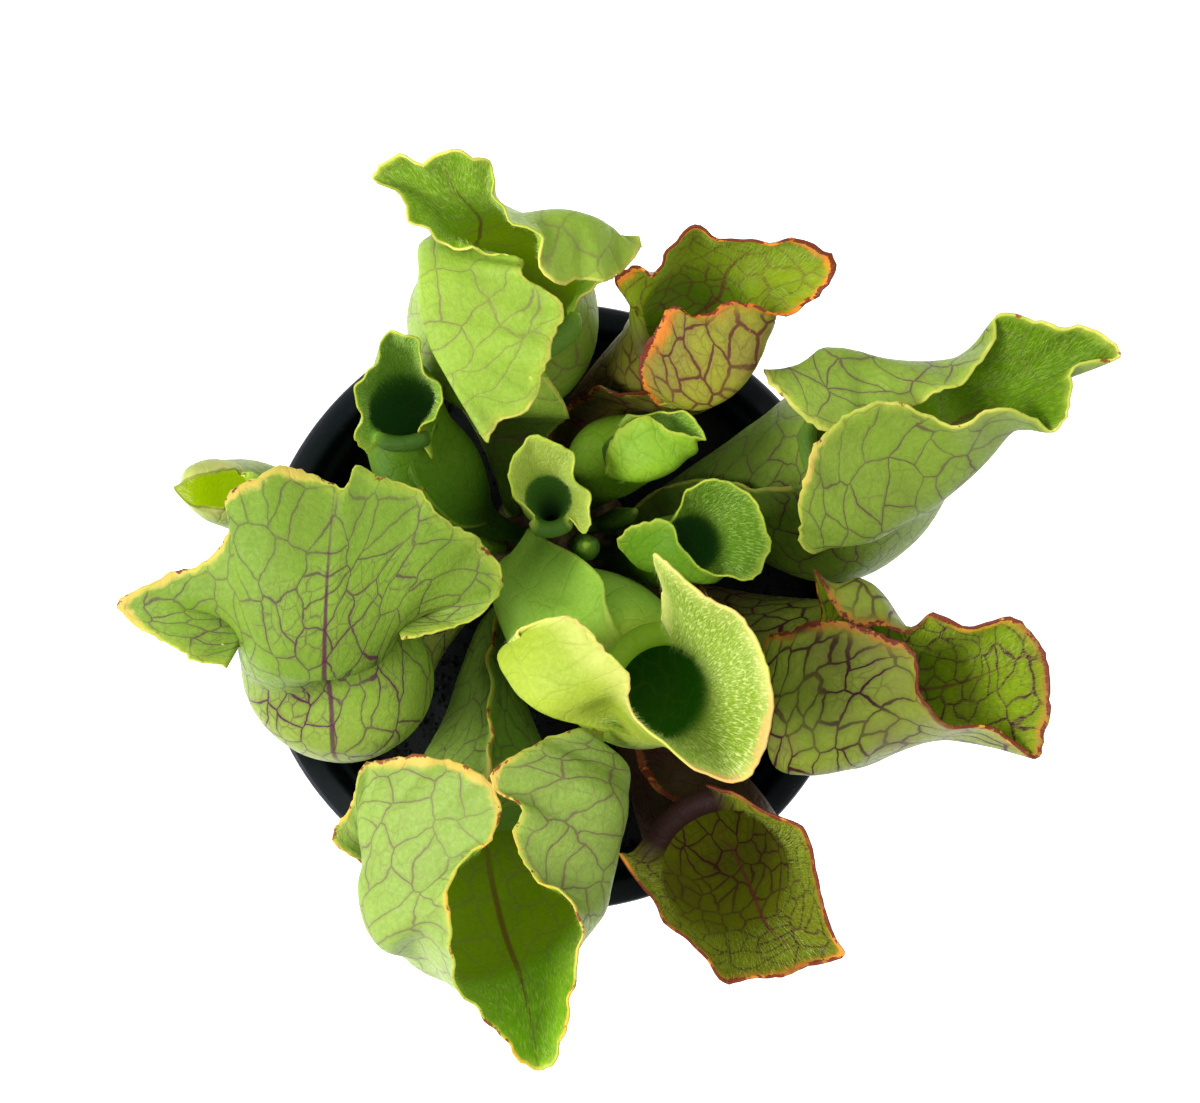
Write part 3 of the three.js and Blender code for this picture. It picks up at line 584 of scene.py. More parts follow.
pitchers["pitcher_east"] = {
    **bigLeaf,
    "ruffle": 0.6,
    "agedAt": [[72, 25, 5], [50, 30, 6]],
    "look": {
        **freshLook, "outer": (130, 156, 56), "streaks": 0.2, "inner": (78, 112, 4), "vein": (84, 40, 60),
        "veins": 0.78, "veinWidth": 0.32, "dry": 0.4,
    },
    "lipRadius": 0.9,
    "back": 15,
    "spine": [
        [11.5, 15.5, -17, 1.8], [13, 16, -8, 1.9], [19, 19, -4, 3.3], [29.5, 22, 1, 7.5],
        [42, 23.5, 8, 14, 12], [54.5, 25, 18, 19.5, 15], [63, 28.5, 29, 18, 15], [68, 33, 39, 15],
    ],
    "wing": [[0.1, 0, 40], [0.3, 5, 65], [0.5, 6, 65], [0.7, 4, 50], [0.9, 0, 30]],
    "hood": [
        [140, 55, 42.5, 48], [128, 43, 50, 51, 52.5, 49, 49], [118, 48, 42, 54, 54, 53.5, 50],
        [108, 56.5, 37, 56, 58.5, 54, 51], [96, 66, 39.5, 55, 63, 53, 51],
        [84, 76, 43.5, 60, 69, 51.5, 52], [70, 84, 46.5, 63, 76.5, 51, 53],
        [56, 89, 53.5, 66, 82.5, 52, 55], [42, 92.5, 61.5, 70, 87, 54, 57],
        [30, 100.5, 59, 72, 92, 50.5, 58], [18, 109.5, 59, 73, 96, 48.5, 58],
        [4, 117, 53, 73, 98.5, 45, 58], [-10, 108.5, 49.5, 70, 97, 44, 57],
        [-22, 106.5, 42, 66, 96.5, 41, 55], [-36, 103.5, 37, 63, 95, 37.5, 54],
        [-50, 93, 41, 64, 92, 33.5, 52], [-62, 81.5, 38, 62, 87, 28.5, 50],
        [-72, 74.5, 40.5, 62, 82.5, 24.5, 48], [-82, 66.5, 43, 62, 78.5, 21, 46],
        [-92, 58.5, 38.5, 60, 74.5, 18.5, 44], [-102, 52, 30, 60, 70, 16, 46],
        [-112, 50.5, 21, 57, 66, 14, 47], [-124, 51.5, 11.5, 51, 61, 13.5, 49], [-138, 60, 15, 48],
    ],
}
pitchers["pitcher_east_low"] = {
    **bigLeaf,
    "agedAt": [[93, -22, 8], [88, -6, 7]],
    "ruffle": 0.15,
    "look": {
        **redLook, "outer": (140, 156, 56), "innerVeins": 1.0, "inner": (112, 136, 4),
        "body": (80, 88, 36), "vein": (62, 24, 34), "veins": 1.0, "veinWidth": 0.56, "cell": 5.4,
        "marginWidth": 1.5, "tinge": 0.3, "margin": (92, 48, 36), "marginAlt": (176, 110, 44),
        "flush": 0.3, "agedColour": (222, 170, 50),
    },
    "back": -5,
    "spine": [
        [10.5, 7.5, -17, 1.8], [11.5, 6.5, -8, 2], [19, 2.5, -4, 4], [30.5, -3, 1, 8],
        [42, -9.5, 8, 12.5], [52, -14, 17, 15.5], [59, -16.5, 27, 16.5, 14], [63.5, -16.5, 36, 14.5],
    ],
    "wing": [[0.1, 0, 40], [0.3, 5, 60], [0.5, 7, 60], [0.7, 5, 50], [0.9, 0, 30]],
    "hood": [
        [140, 55, -3.5, 42], [120, 53.5, 8, 50, 57.5, 1.5, 44], [104, 56.5, 2, 53, 61, 6, 48],
        [88, 60, -2.5, 54, 64, 5, 50], [72, 67, -4, 56, 68, 1.5, 50], [56, 73, -5, 58, 71, -2.5, 50],
        [42, 78, -1, 62, 74.5, -7, 52], [28, 85.5, -4, 64], [14, 94, -2, 67], [2, 100.5, -7, 68],
        [-10, 102.5, -16.5, 68], [-22, 102, -25.5, 66], [-34, 99.5, -31.5, 62],
        [-46, 91, -25.5, 62, 82.5, -27.5, 50], [-58, 80.5, -24.5, 61, 76.5, -28, 48],
        [-70, 75, -17, 61, 70, -29.5, 46], [-80, 74, -10, 61, 66, -31, 45],
        [-90, 68.5, -6, 60, 63, -33, 43], [-100, 57.5, -3, 57, 58.5, -34, 41],
        [-110, 48.5, -4.5, 52, 53.5, -34.5, 39], [-122, 43, -7, 46, 47.5, -34, 36],
        [-138, 45, -21.5, 38, 46.5, -26.5, 34],
    ],
}
pitchers["pitcher_south_east"] = {
    **bigLeaf,
    "ruffle": 0.15,
    "look": {**brownLook},
    "lipRadius": 1.5,
    "arch": 0.1,
    "back": -50,
    "spine": [
        [4.5, 2, -17, 1.8], [5.5, 0.5, -8, 2], [10.5, -9, -6, 4], [16.5, -20.5, -3, 6.5],
        [22.5, -32, 1, 9.5], [29, -42.5, 10, 12.5], [33.5, -50.5, 22, 13.5, 12], [35, -55, 33, 13.5],
    ],
    "wing": [[0.15, 0, 0], [0.4, 2, -30], [0.7, 4, -50], [0.93, 0, 0]],
    "hood": [
        [134, 30.5, -36.5, 40, 37, -39, 37], [122, 37.5, -39, 43], [106, 44, -42.5, 46],
        [88, 51, -45.5, 49], [68, 53, -50.5, 51], [48, 55, -59.5, 53], [30, 57.5, -68, 54],
        [16, 60, -72.5, 54], [2, 53.5, -74.5, 52], [-14, 46.5, -77, 52], [-30, 40.5, -77.5, 52],
        [-46, 34.5, -78, 51], [-62, 30, -72.5, 50], [-78, 26.5, -69, 48], [-92, 22, -65.5, 46],
        [-106, 20.5, -62, 46, 19.5, -60.5, 42], [-120, 17, -58, 46, 17, -57, 40],
        [-134, 12.5, -51.5, 44, 17.5, -54.5, 38],
    ],
}
pitchers["pitcher_south"] = {
    **bigLeaf,
    "dents": [[0.98, 0.15, -8.5, -0.6], [0.84, 0.12, -3.5, -1.2], [0.92, 0.12, -2.5, 0.9]],
    "agedAt": [[-30, -31, 9], [-15, -37, 7], [6, -66, 8]],
    "ruffle": 0.6,
    "look": {
        **freshLook, "outer": (142, 168, 76), "body": (140, 174, 72), "tube": (106, 134, 8),
        "inner": (98, 146, 14), "glow": 0.42, "vein": (98, 50, 70), "veins": 0.62, "veinWidth": 0.32,
        "margin": (210, 168, 60), "marginWidth": 0.9, "dry": 0.6, "midribWidth": 0.9,
        "midribColour": (84, 38, 26), "streaks": 0.5,
    },
    "back": -85,
    "spine": [
        [-6.5, 3, -17, 1.8], [-7.5, 2, -8, 2], [-12.5, -3, -5, 3], [-14.5, -13, -1, 5.6],
        [-14.5, -24.5, 6, 9.5], [-14.5, -41, 17, 17.5, 14], [-13, -50.5, 27, 20.5, 15],
        [-10.5, -58, 38, 17.5, 14],
    ],
    "wing": [[0.1, 0, 10], [0.28, 5, -30], [0.48, 6, -25], [0.68, 5, 0], [0.93, 0, 0]],
    "hood": [
        [138, 3.5, -45.5, 44], [128, 9, -26.5, 48, 7.5, -40, 43], [119, 6.5, -25, 53, 14, -33, 48],
        [110, -2.5, -27.5, 57, 14.5, -38, 50], [101, -11, -32, 62, 14, -43, 53],
        [92, -13.5, -36.5, 62, 12.5, -48, 52], [82, -8, -41, 62, 11.5, -52, 51],
        [70, -9, -48, 61, 10, -57, 50], [58, -4.5, -55.5, 60, 9, -62, 49], [44, 3.5, -62, 60, 7, -66, 48],
        [30, 5.5, -69, 60], [18, 2.5, -81.5, 58], [8, 1.5, -91, 54], [0, -4, -96.5, 52],
        [-10, -11, -91, 55], [-22, -16.5, -84, 58], [-34, -22, -77, 60],
        [-48, -22.5, -67, 61, -25.5, -67, 50], [-60, -21.5, -54, 61, -31.5, -69, 48],
        [-72, -12, -45, 62, -36, -65, 46], [-82, -14, -37, 62, -38, -59.5, 45],
        [-92, -20.5, -32.5, 60, -38, -57, 45], [-102, -30.5, -31, 57, -38.5, -54.5, 45],
        [-112, -40, -33, 54, -38.5, -53, 44], [-122, -43, -41, 49, -38, -51.5, 42],
        [-132, -46.5, -48, 44, -36, -50.5, 40], [-142, -36, -57, 40, -28.5, -54.5, 39],
    ],
}
pitchers["pitcher_west"] = {
    **bigLeaf,
    "dents": [[0.94, 0.045, 8.0, 0.5], [0.87, 0.045, 6.5, -0.25], [0.98, 0.05, 4.5, 1.5],
    [0.8, 0.06, -2.2, 0.6]],
    "agedAt": [[-66, 24, 10], [-70, 14, 7], [-81, 8, 7], [-90, 1, 7], [-55, 30, 6]],
    "look": {
        **freshLook, "outer": (120, 150, 48), "body": (154, 166, 76), "bodyFrom": 0.55,
        "vein": (76, 30, 60), "veins": 0.76, "veinWidth": 0.3, "lowVeins": 1.3, "midrib": 0.9,
        "midribColour": (78, 30, 56), "midribWidth": 0.8, "cell": 6.0, "fineVeins": 0.65,
        "margin": (186, 190, 76), "marginWidth": 0.45, "dry": 0.5, "dryColour": (112, 56, 34),
    },
    "arch": 0.12,
    "backFacing": [0, -0.5, 0.87],
    "spine": [
        [-10.5, 7.5, -17, 1.8], [-11.5, 6.5, -8, 2], [-20, 0.5, -4, 3.4], [-28.5, -6.5, 0, 6],
        [-36.5, -13, 8, 11], [-44, -15.5, 21, 17.5, 16], [-46.5, -12, 34, 18.5, 14],
        [-47.5, -5.5, 45, 17, 11],
    ],
    "wing": [[0.1, 0, 0], [0.35, 3, 0], [0.6, 3, 0], [0.93, 0, 0]],
    "hood": [
        [138, -32.5, -6.5, 50], [122, -22.5, -4.5, 50], [106, -14, 0.5, 50], [92, -11, 5.5, 51],
        [76, -15.5, 13, 53], [60, -22.5, 18, 55], [44, -30.5, 25, 55], [30, -37, 27.5, 55],
        [14, -42, 29.5, 55], [4, -44.5, 24.5, 56], [-8, -50, 27.5, 55], [-22, -55.5, 29.5, 55],
        [-36, -61.5, 27.5, 55], [-48, -69, 23.5, 54], [-60, -68.5, 15, 53], [-72, -73.5, 10, 51],
        [-84, -82.5, 6, 49], [-96, -92, 0.5, 46], [-110, -85, -5.5, 47], [-124, -76.5, -10.5, 47],
        [-138, -68.5, -12.5, 46],
    ],
}
pitchers["pitcher_centre_south"] = {
    **bigLeaf,
    "hairs": 3.0,
    "hairLength": 2.0,
    "agedAt": [[44, -28, 12], [34, -36, 8]],
    "ruffle": 0.15,
    "look": {**limeLook, "body": (146, 190, 66), "bodyFrom": 0.7, "bodyTo": 1.05},
    "lipRadius": 1.4,
    "arch": 0.12,
    "back": -65,
    "footFacing": [0.1, -0.1, -1],
    "spine": [
        [-3.5, 10, -17, 1.8], [-4.5, 9, -8, 2.4], [-7, 6, 2, 6.2], [-2, -0.5, 14, 10.5],
        [9.5, -8.5, 27, 14.5], [16.5, -15.5, 39, 13], [21.5, -18, 50, 10],
    ],
    "wing": [[0.12, 0, 60], [0.26, 7, 65], [0.45, 9, 65], [0.7, 6, 55], [0.93, 0, 20]],
    "hood": [
        [135, 21.5, -1.5, 56], [120, 22, 3.5, 62], [106, 20.5, 11.5, 72], [92, 27.5, 5, 74],
        [76, 34, 1, 75], [60, 39, -2.5, 76], [44, 43, -10, 77], [28, 45, -19.5, 76],
        [12, 42.5, -31.5, 74], [-2, 37.5, -36.5, 72], [-16, 29.5, -34.5, 70], [-32, 21.5, -28, 68],
        [-48, 15.5, -23, 66], [-62, 14.5, -19.5, 66, 11.5, -20.5, 58],
        [-72, 14.5, -14, 68, 3.5, -22.5, 60], [-82, 11, -10, 68, -2.5, -22, 60],
        [-92, 7.5, -6, 67, -8, -18.5, 58], [-102, 4, -2.5, 65, -11.5, -13.5, 55],
        [-112, -2.5, -2.5, 61, -12.5, -10, 51], [-124, -8, -5.5, 57, -10, -11, 50],
        [-138, 5.5, -12, 50, 3.5, -12.5, 48],
    ],
}
pitchers["pitcher_far_west"] = {
    **smallLeaf,
    "look": {
        **limeLook, "outer": (140, 158, 62), "inner": (160, 178, 4), "tube": (150, 172, 4),
        "marginAlt": (120, 130, 40), "margin": (150, 150, 60), "glow": 0.8, "glowFrom": 0.3,
        "deepTo": 0.0,
    },
    "back": 170,
    "spine": [
        [-11.5, 12.5, -17, 1.5], [-13, 12.5, -8, 1.6], [-26.5, 15, -6, 2.6], [-43, 18, 0, 4.2],
        [-55.5, 21, 9, 6.3], [-64, 23, 22, 7.3], [-70, 24, 35, 6.3],
    ],
    "hood": [
        [135, -68.5, 21, 40], [100, -75, 21, 42], [60, -78.5, 23, 44], [15, -80.5, 25.5, 46],
        [-25, -77.5, 26.5, 46, -78, 27.5, 44], [-55, -74, 27.5, 46, -74.5, 29.5, 44],
        [-85, -71, 28, 45, -71.5, 30, 43], [-110, -68, 28.5, 43, -67.5, 30, 40], [-135, -66, 27.5, 38],
    ],
}
pitchers["pitcher_inner_north_west"] = {
    **smallLeaf,
    "ruffle": 0.7,
    "look": {**youngLook, "dry": 0.45},
    "lipRadius": 0.9,
    "back": 97,
    "spine": [
        [-6, 15, -17, 1.6], [-8, 15.2, -8, 1.7], [-15.5, 18, -1, 3.6], [-22, 23, 8, 8.5],
        [-26.5, 28, 18, 10.5], [-30.5, 35, 28, 9], [-32, 41.5, 37, 7.5],
    ],
    "wing": [[0.3, 0, 0], [0.5, 2, 0], [0.7, 2, 0], [0.9, 0, 0]],
    "hood": [
        [138, -37.5, 35, 40], [122, -39.5, 32, 38], [108, -42.5, 35, 42], [92, -41, 41, 46],
        [74, -42, 46.5, 50], [54, -38.5, 50.5, 54], [34, -37, 55.5, 57], [12, -33, 57, 60],
        [-10, -29, 56, 60], [-32, -28, 51.5, 57], [-54, -24.5, 45.5, 53], [-76, -24.5, 41, 49],
        [-96, -27, 38, 45], [-112, -28.5, 35, 42], [-126, -26.5, 31, 39], [-140, -28, 35, 39],
    ],
}
pitchers["pitcher_inner_centre"] = {
    **smallLeaf,
    "look": {
        **youngLook, "outer": (120, 148, 46), "inner": (140, 156, 56), "tube": (66, 108, 34),
        "deep": (30, 60, 24), "deepTo": 0.2, "glow": 0.36, "margin": (176, 182, 84),
    },
    "back": 100,
    "spine": [
        [-1, 16.5, -17, 1.5], [-1.2, 17.5, -8, 1.7], [-1.6, 20, 2, 3], [-1.8, 22, 15, 4.8],
        [-2, 22.5, 26, 5.5], [-2, 22.5, 35, 5.2],
    ],
    "hood": [
        [132, -5.5, 19, 39], [105, -9.5, 24, 44], [80, -10, 29, 48], [55, -8, 34, 51], [25, -5, 36, 53],
        [0, -1, 34.5, 54], [-25, 3, 32, 53], [-48, 4, 26.5, 50], [-70, 6.5, 24.5, 48], [-92, 7, 20, 45],
        [-115, 5.5, 15, 41], [-138, 2.5, 18, 38],
    ],
}
pitchers["pitcher_inner_north_east"] = {
    **smallLeaf,
    "look": {**youngLook, "outer": (130, 170, 40)},
    "back": 30,
    "spine": [
        [3, 19, -17, 1.4], [3.5, 20, -8, 1.6], [5, 22.5, 0, 3.4], [8.5, 28.5, 11, 6.9], [11, 31, 20, 8.1],
        [15, 32.5, 29, 7.2], [18, 33, 36, 6.3],
    ],
    "hood": [
        [138, 12.5, 35.5, 36], [110, 14.5, 40, 40], [85, 17, 40, 43], [60, 22, 41, 46], [35, 26, 41, 48],
        [12, 29.5, 37.5, 49], [-8, 31, 34.5, 48], [-28, 27.5, 36, 48, 29, 33.5, 46],
        [-48, 23, 36.5, 48, 26.5, 32, 46], [-68, 19, 39.5, 47, 24, 29.5, 46],
        [-88, 14, 38.5, 46, 20, 27.5, 45], [-110, 10.5, 33.5, 44, 15.5, 26.5, 43],
        [-136, 9.5, 28, 40, 12, 26.5, 39],
    ],
}
pitchers["pitcher_inner_east"] = {
    **smallLeaf,
    "look": {**youngLook, "inner": (80, 118, 24), "hair": "green"},
    "lipRadius": 0.9,
    "back": 20,
    "spine": [
        [8, 11.5, -17, 1.4], [9, 11.5, -8, 1.6], [12.5, 10.8, -1, 3], [17.5, 11, 8, 5.5],
        [22.5, 11.5, 20, 7], [27.5, 13, 33, 6.3],
    ],
    "hood": [
        [138, 23, 17, 37], [112, 25, 21, 42], [88, 27.5, 25, 46], [62, 34, 26.5, 50],
        [38, 39.5, 24.5, 51], [14, 43, 18.5, 51], [-8, 44, 12.5, 49], [-30, 42, 6.5, 46],
        [-50, 38, 5.5, 43], [-68, 29.5, 8.5, 41, 32.5, 5, 38], [-84, 25, 13, 42, 28.5, 5, 37],
        [-100, 23, 17.5, 42, 25.5, 6, 36], [-114, 16, 17.5, 40, 21.5, 7, 35],
        [-128, 12.5, 12.5, 36, 17, 8, 33], [-142, 20.5, 9.5, 33],
    ],
}


def leafGuide(leaf):  # the centre line, its frames and its radii
    points = np.array([planPoint(*row[:3]) for row in leaf["spine"]])
    lengths = lengthsAlong(points)
    knots = lengths / lengths[-1]
    centreAt = smoothThrough(knots, points)
    radiiAt = smoothThrough(knots, [[row[3], row[-1]] for row in leaf["spine"]])
    azimuth = math.radians(leaf.get("back", 0))
    facing = leaf.get("backFacing", [math.cos(azimuth), math.sin(azimuth), -0.6])
    mouthBack = unit(np.array(facing, float))
    outward = unit((points[1] - points[0]) * [1, 1, 0])
    footBack = unit(np.array(leaf.get("footFacing", [outward[0], outward[1], -1]), float))

    def frameAt(t):
        t = np.atleast_1d(np.asarray(t, float))
        along = unit(centreAt(np.minimum(1, t + 0.02)) - centreAt(np.maximum(0, t - 0.02)))
        back = footBack + (mouthBack - footBack) * ramp(t)[:, None]
        back = unit(back - along * dot(back, along))
        return {"centre": centreAt(t), "along": along, "back": back,
                "side": np.cross(along, back), "radii": radiiAt(t)}
    return frameAt


def ringPoints(frames, angles):  # angles: one row for each frame
    across = frames["radii"][:, 0, None, None]
    deep = frames["radii"][:, 1, None, None]
    turn = angles[:, :, None]
    return (frames["centre"][:, None] + frames["back"][:, None] * np.cos(turn) * deep
            + frames["side"][:, None] * np.sin(turn) * across)


def wingAngles(frames, offsets):
    across = frames["radii"][:, 0, None]
    shrink = np.minimum(1, across * everyLeaf["wingRootShare"] / everyLeaf["wingRoot"])
    return math.pi - np.arcsin(np.asarray(offsets) * shrink / across)


def spreadColumns(leaf, margins):  # knots of the table's columns, and the finer columns between
    gaps = np.linalg.norm(np.diff(margins, axis=0), axis=1)
    knots = np.concatenate([[0, 2.4, 4.8], 4.8 + np.cumsum(np.sqrt(np.maximum(gaps, 1)))])
    knots = np.concatenate([knots, knots[-1] + [2.4, 4.8]])
    counts = [5, 6] + [int(np.clip(round(gap / leaf["columnSpacing"]), 3, 13)) for gap in gaps] + [6, 5]
    fine = [np.linspace(knots[i], knots[i + 1], count, endpoint=False) for i, count in enumerate(counts)]
    return knots, np.concatenate(fine + [[knots[-1]]])


def riserCurves(below, rim, bend, margin, shares):
    rows = []
    for points in zip(below, rim, bend, margin):
        points = np.array(points)
        lengths = lengthsAlong(points)
        rows.append(smoothThrough(lengths, points)(lengths[1] + (lengths[3] - lengths[1]) * shares))
    return np.array(rows).transpose(1, 0, 2)


# across and out, as shares of half the root strip and of the wing's width
wingProfile = [
    [-0.72, 0.18], [-0.58, 0.42], [-0.5, 0.68], [-0.45, 0.88], [-0.3, 0.98], [0, 1.02],
    [0.3, 0.98], [0.45, 0.88], [0.5, 0.68], [0.58, 0.42], [0.72, 0.18],
]


def wavesAlong(arc, seed, name):
    return sum(np.sin(arc / length + turn * seed) * height for length, turn, height in edgeWaves[name])


def leafSkin(leaf, seed):
    frameAt = leafGuide(leaf)
    farAway = everyLeaf["farAway"]
    angles = np.radians([row[0] for row in leaf["hood"]])
    margins = np.array([planPoint(*row[1:4]) for row in leaf["hood"]])
    count = len(angles)
    frontEdge = everyLeaf["frontEdge"]
    lips = [(frontEdge + angles[0]) / 2, (angles[-1] - frontEdge) / 2]
    settled = np.concatenate([[frontEdge, lips[0]], angles, [lips[1], -frontEdge]])
    evenShare = 1 - 2 * np.arange(count + 4) / (count + 3)
    knots, fine = spreadColumns(leaf, margins)
    mainCount = len(fine)

    # the tube, from foot to mouth
    t = np.linspace(0, 1, leaf["tubeRows"]) ** everyLeaf["rowSpacing"]
    frames = frameAt(t)
    even = wingAngles(frames, [everyLeaf["wingRoot"]]) * evenShare
    share = ramp(t, everyLeaf["settleFrom"])[:, None]
    table = even + (settled - even) * share
    table[:, [0, -1]] = even[:, [0, -1]]
    mainAngles = smoothThrough(knots, table.T)(fine).T
    offsets = [row[0] for row in wingProfile]
    allAngles = np.hstack([mainAngles, wingAngles(frames, offsets)])
    plain = ringPoints(frames, allAngles)
    for at, reach, depth, turn in leaf.get("dents", []):
        lengthwise = np.exp(-((t - at) / reach) ** 2)[:, None]
        push = lengthwise * np.exp(-((allAngles - turn) / everyLeaf["dentSpread"]) ** 2) * depth
        plain -= unit(plain - frames["centre"][:, None]) * push[:, :, None]
    winged = plain.copy()
    wingAway = np.full(plain.shape[:2], farAway)
    if "wing" in leaf:
        wingT = [row[0] for row in leaf["wing"]]
        width, lean = smoothThrough(wingT, [row[1:] for row in leaf["wing"]])(t).T
        width = np.where((t > wingT[0]) & (t < wingT[-1]), np.maximum(width, 0), 0)
        lean = np.radians(lean)
        way = -np.cos(lean)[:, None] * frames["back"] + np.sin(lean)[:, None] * frames["side"]
        sway = everyLeaf["wingRipple"] * np.sin(t * everyLeaf["wingWaves"] + seed) * np.minimum(width, 4) / 4
        ripple = np.cross(way, frames["along"]) * sway[:, None]
        for k, (_, reach) in enumerate(wingProfile):
            winged[:, mainCount + k] += way * (width * reach)[:, None] + ripple * reach ** 2
            wingAway[:, mainCount + k] = np.where(width > 1, width * (1.02 - reach), farAway)

    # the hood and the rolled lip, from the mouth to the margin
    shares = np.linspace(0, 1, leaf["hoodRows"] + 1)[1:] ** everyLeaf["hoodSpacing"]
    mouth = frameAt(1)
    centre, along = mouth["centre"][0], mouth["along"][0]
    rim = plain[-1]
    settledFine = smoothThrough(knots, settled[:, None])(fine)[:, 0]
    below = ringPoints(frameAt(everyLeaf["belowMouth"]), settledFine[None])[0]
    tableRim = ringPoints(mouth, angles[None])[0]
    bends = []
    for row, start, margin in zip(leaf["hood"], tableRim, margins):
        lift = along * np.linalg.norm(start - margin) * leaf["arch"]
        bends.append(planPoint(*row[4:7]) if len(row) > 4 else (start + margin) / 2 + lift)
    stationKnots = knots[2:-2]
    hoodColumns = np.clip(fine, stationKnots[0], stationKnots[-1])
    marginLine = smoothThrough(stationKnots, margins)(hoodColumns)
    bendLine = smoothThrough(stationKnots, bends)(hoodColumns)
    hoodRim = ringPoints(mouth, smoothThrough(stationKnots, angles[:, None])(hoodColumns).T)[0]
    hood = riserCurves(below, hoodRim, bendLine, marginLine, shares)
    hood += (rim[:mainCount] - hoodRim)[None] * (1 - shares)[:, None, None]
    outward = rim - centre
    outward = unit(outward - along * dot(outward, along))
    roll = (everyLeaf["lipRoll"] * shares)[:, None, None]
    lip = rim[None] + leaf["lipRadius"] * (outward[None] * (1 - np.cos(roll)) + along * np.sin(roll))
    fromLip = np.clip((fine - knots[1]) / (knots[2] - knots[1]), 0, 1)
    toLip = np.clip((knots[-2] - fine) / (knots[-2] - knots[-3]), 0, 1)
    hooded = np.concatenate([np.minimum(fromLip, toLip), np.zeros(len(wingProfile))])
    top = lip.copy()
    weight = hooded[:mainCount, None]
    top[:, :mainCount] = lip[:, :mainCount] * (1 - weight) + hood * weight

    # waves, nicks and scallops in the free margin
    arc = lengthsAlong(top[-1])
    nick = wavesAlong(arc, seed, "fineNick") * wavesAlong(arc, seed, "nickSpread")
    nick += wavesAlong(arc, seed, "tinyNick")
    plain = np.concatenate([plain, top])
    winged = np.concatenate([winged, top])
    normals = skinNormals(plain)
    rise = np.concatenate([t, 1 + shares])
    late = ramp(rise, everyLeaf["ruffleFrom"], 2)[:, None] * hooded
    down = np.zeros_like(plain)
    down[1:] = unit(plain[1:] - plain[:-1])
    ruffle = late * leaf["ruffle"] * wavesAlong(arc, seed, "ruffle")
    drop = late ** 2 * (everyLeaf["nicks"] * nick + everyLeaf["nickDrop"])
    drop += ramp(rise, everyLeaf["scallopFrom"], 2)[:, None] * hooded * wavesAlong(
        arc, seed, "scallop") * leaf["scallop"]
    change = ruffle[:, :, None] * normals - drop[:, :, None] * down
    plain = plain + change
    winged = winged + change

    # how far each point is from the margin, and where it lies on the leaf laid flat
    risen = np.linalg.norm(np.diff(plain, axis=0), axis=2)
    toMargin = np.vstack([np.cumsum(risen[::-1], axis=0)[::-1], np.zeros(plain.shape[1])])
    away = np.minimum(toMargin + (1 - hooded) * farAway, farAway)
    away[:len(t)] = np.minimum(away[:len(t)], wingAway)
    middle = int(np.argmin(np.abs(np.concatenate([settledFine, np.full(len(wingProfile), 9)]))))
    pastWingTip = mainCount + len(wingProfile) // 2 + 1
    inTurn = np.roll(np.arange(plain.shape[1]), -pastWingTip)
    steps = np.linalg.norm(np.diff(plain[:, inTurn], axis=1, prepend=plain[:, inTurn[:1]]), axis=2)
    across = np.empty(plain.shape[:2])
    across[:, inTurn] = np.cumsum(steps, axis=1)
    across -= across[:, middle:middle + 1]
    fromMiddle = np.abs(across)
    chosen = across[len(t) + int(leaf["hoodRows"] * everyLeaf["evenWidthAt"])]
    across += (chosen - across) * everyLeaf["evenWidth"]
    upward = np.vstack([np.zeros(plain.shape[1]), np.cumsum(risen, axis=0)])
    sheet = np.stack([across, upward, np.zeros_like(across)], axis=2) * mm

    # where the plan says that the margin is dry
    level = viewpoint["height"] / (viewpoint["height"] + potHeight - plain[:, :, 2])
    planX = viewpoint["x"] + (plain[:, :, 0] - viewpoint["x"]) * level
    planY = viewpoint["y"] + (plain[:, :, 1] - viewpoint["y"]) * level
    aged = np.zeros(plain.shape[:2])
    for x, y, reach in leaf.get("agedAt", []):
        aged = np.maximum(aged, np.exp(-((planX - x) ** 2 + (planY - y) ** 2) / reach ** 2))
    return {
        "aged": aged, "plain": plain, "winged": winged, "rise": rise, "hooded": hooded, "away": away,
        "sheet": sheet, "middle": fromMiddle, "lay": -down,
    }


def skinNormals(grid):
    acrossStep = np.roll(grid, -1, axis=1) - np.roll(grid, 1, axis=1)
    upStep = np.gradient(grid, axis=0)
    normals = unit(np.cross(upStep, acrossStep))
    for _ in range(3):
        padded = np.concatenate([normals[:1], normals, normals[-1:]])
        around = np.roll(normals, 1, axis=1) + np.roll(normals, -1, axis=1)
        normals = unit(normals * 2 + around + padded[:-2] + padded[2:])
    return normals


def makeMesh(name, points, faces, smooth=True):
    mesh = bpy.data.meshes.new(name)
    mesh.from_pydata((np.asarray(points) * mm).tolist(), [], faces)
    mesh.polygons.foreach_set("use_smooth", [smooth] * len(mesh.polygons))
    mesh.update()
    piece = bpy.data.objects.new(name, mesh)
    scene.collection.objects.link(piece)
    return piece


def writeAttributes(piece, table):
    for name, values in table.items():
        values = np.asarray(values, float)
        kind, key = ("FLOAT_VECTOR", "vector") if values.ndim == 2 else ("FLOAT", "value")
        piece.data.attributes.new(name, kind, "POINT").data.foreach_set(key, values.ravel())


def strip(low, high):  # quads between two closed rings of points
    return np.stack([low, high, np.roll(high, -1), np.roll(low, -1)], axis=1).tolist()


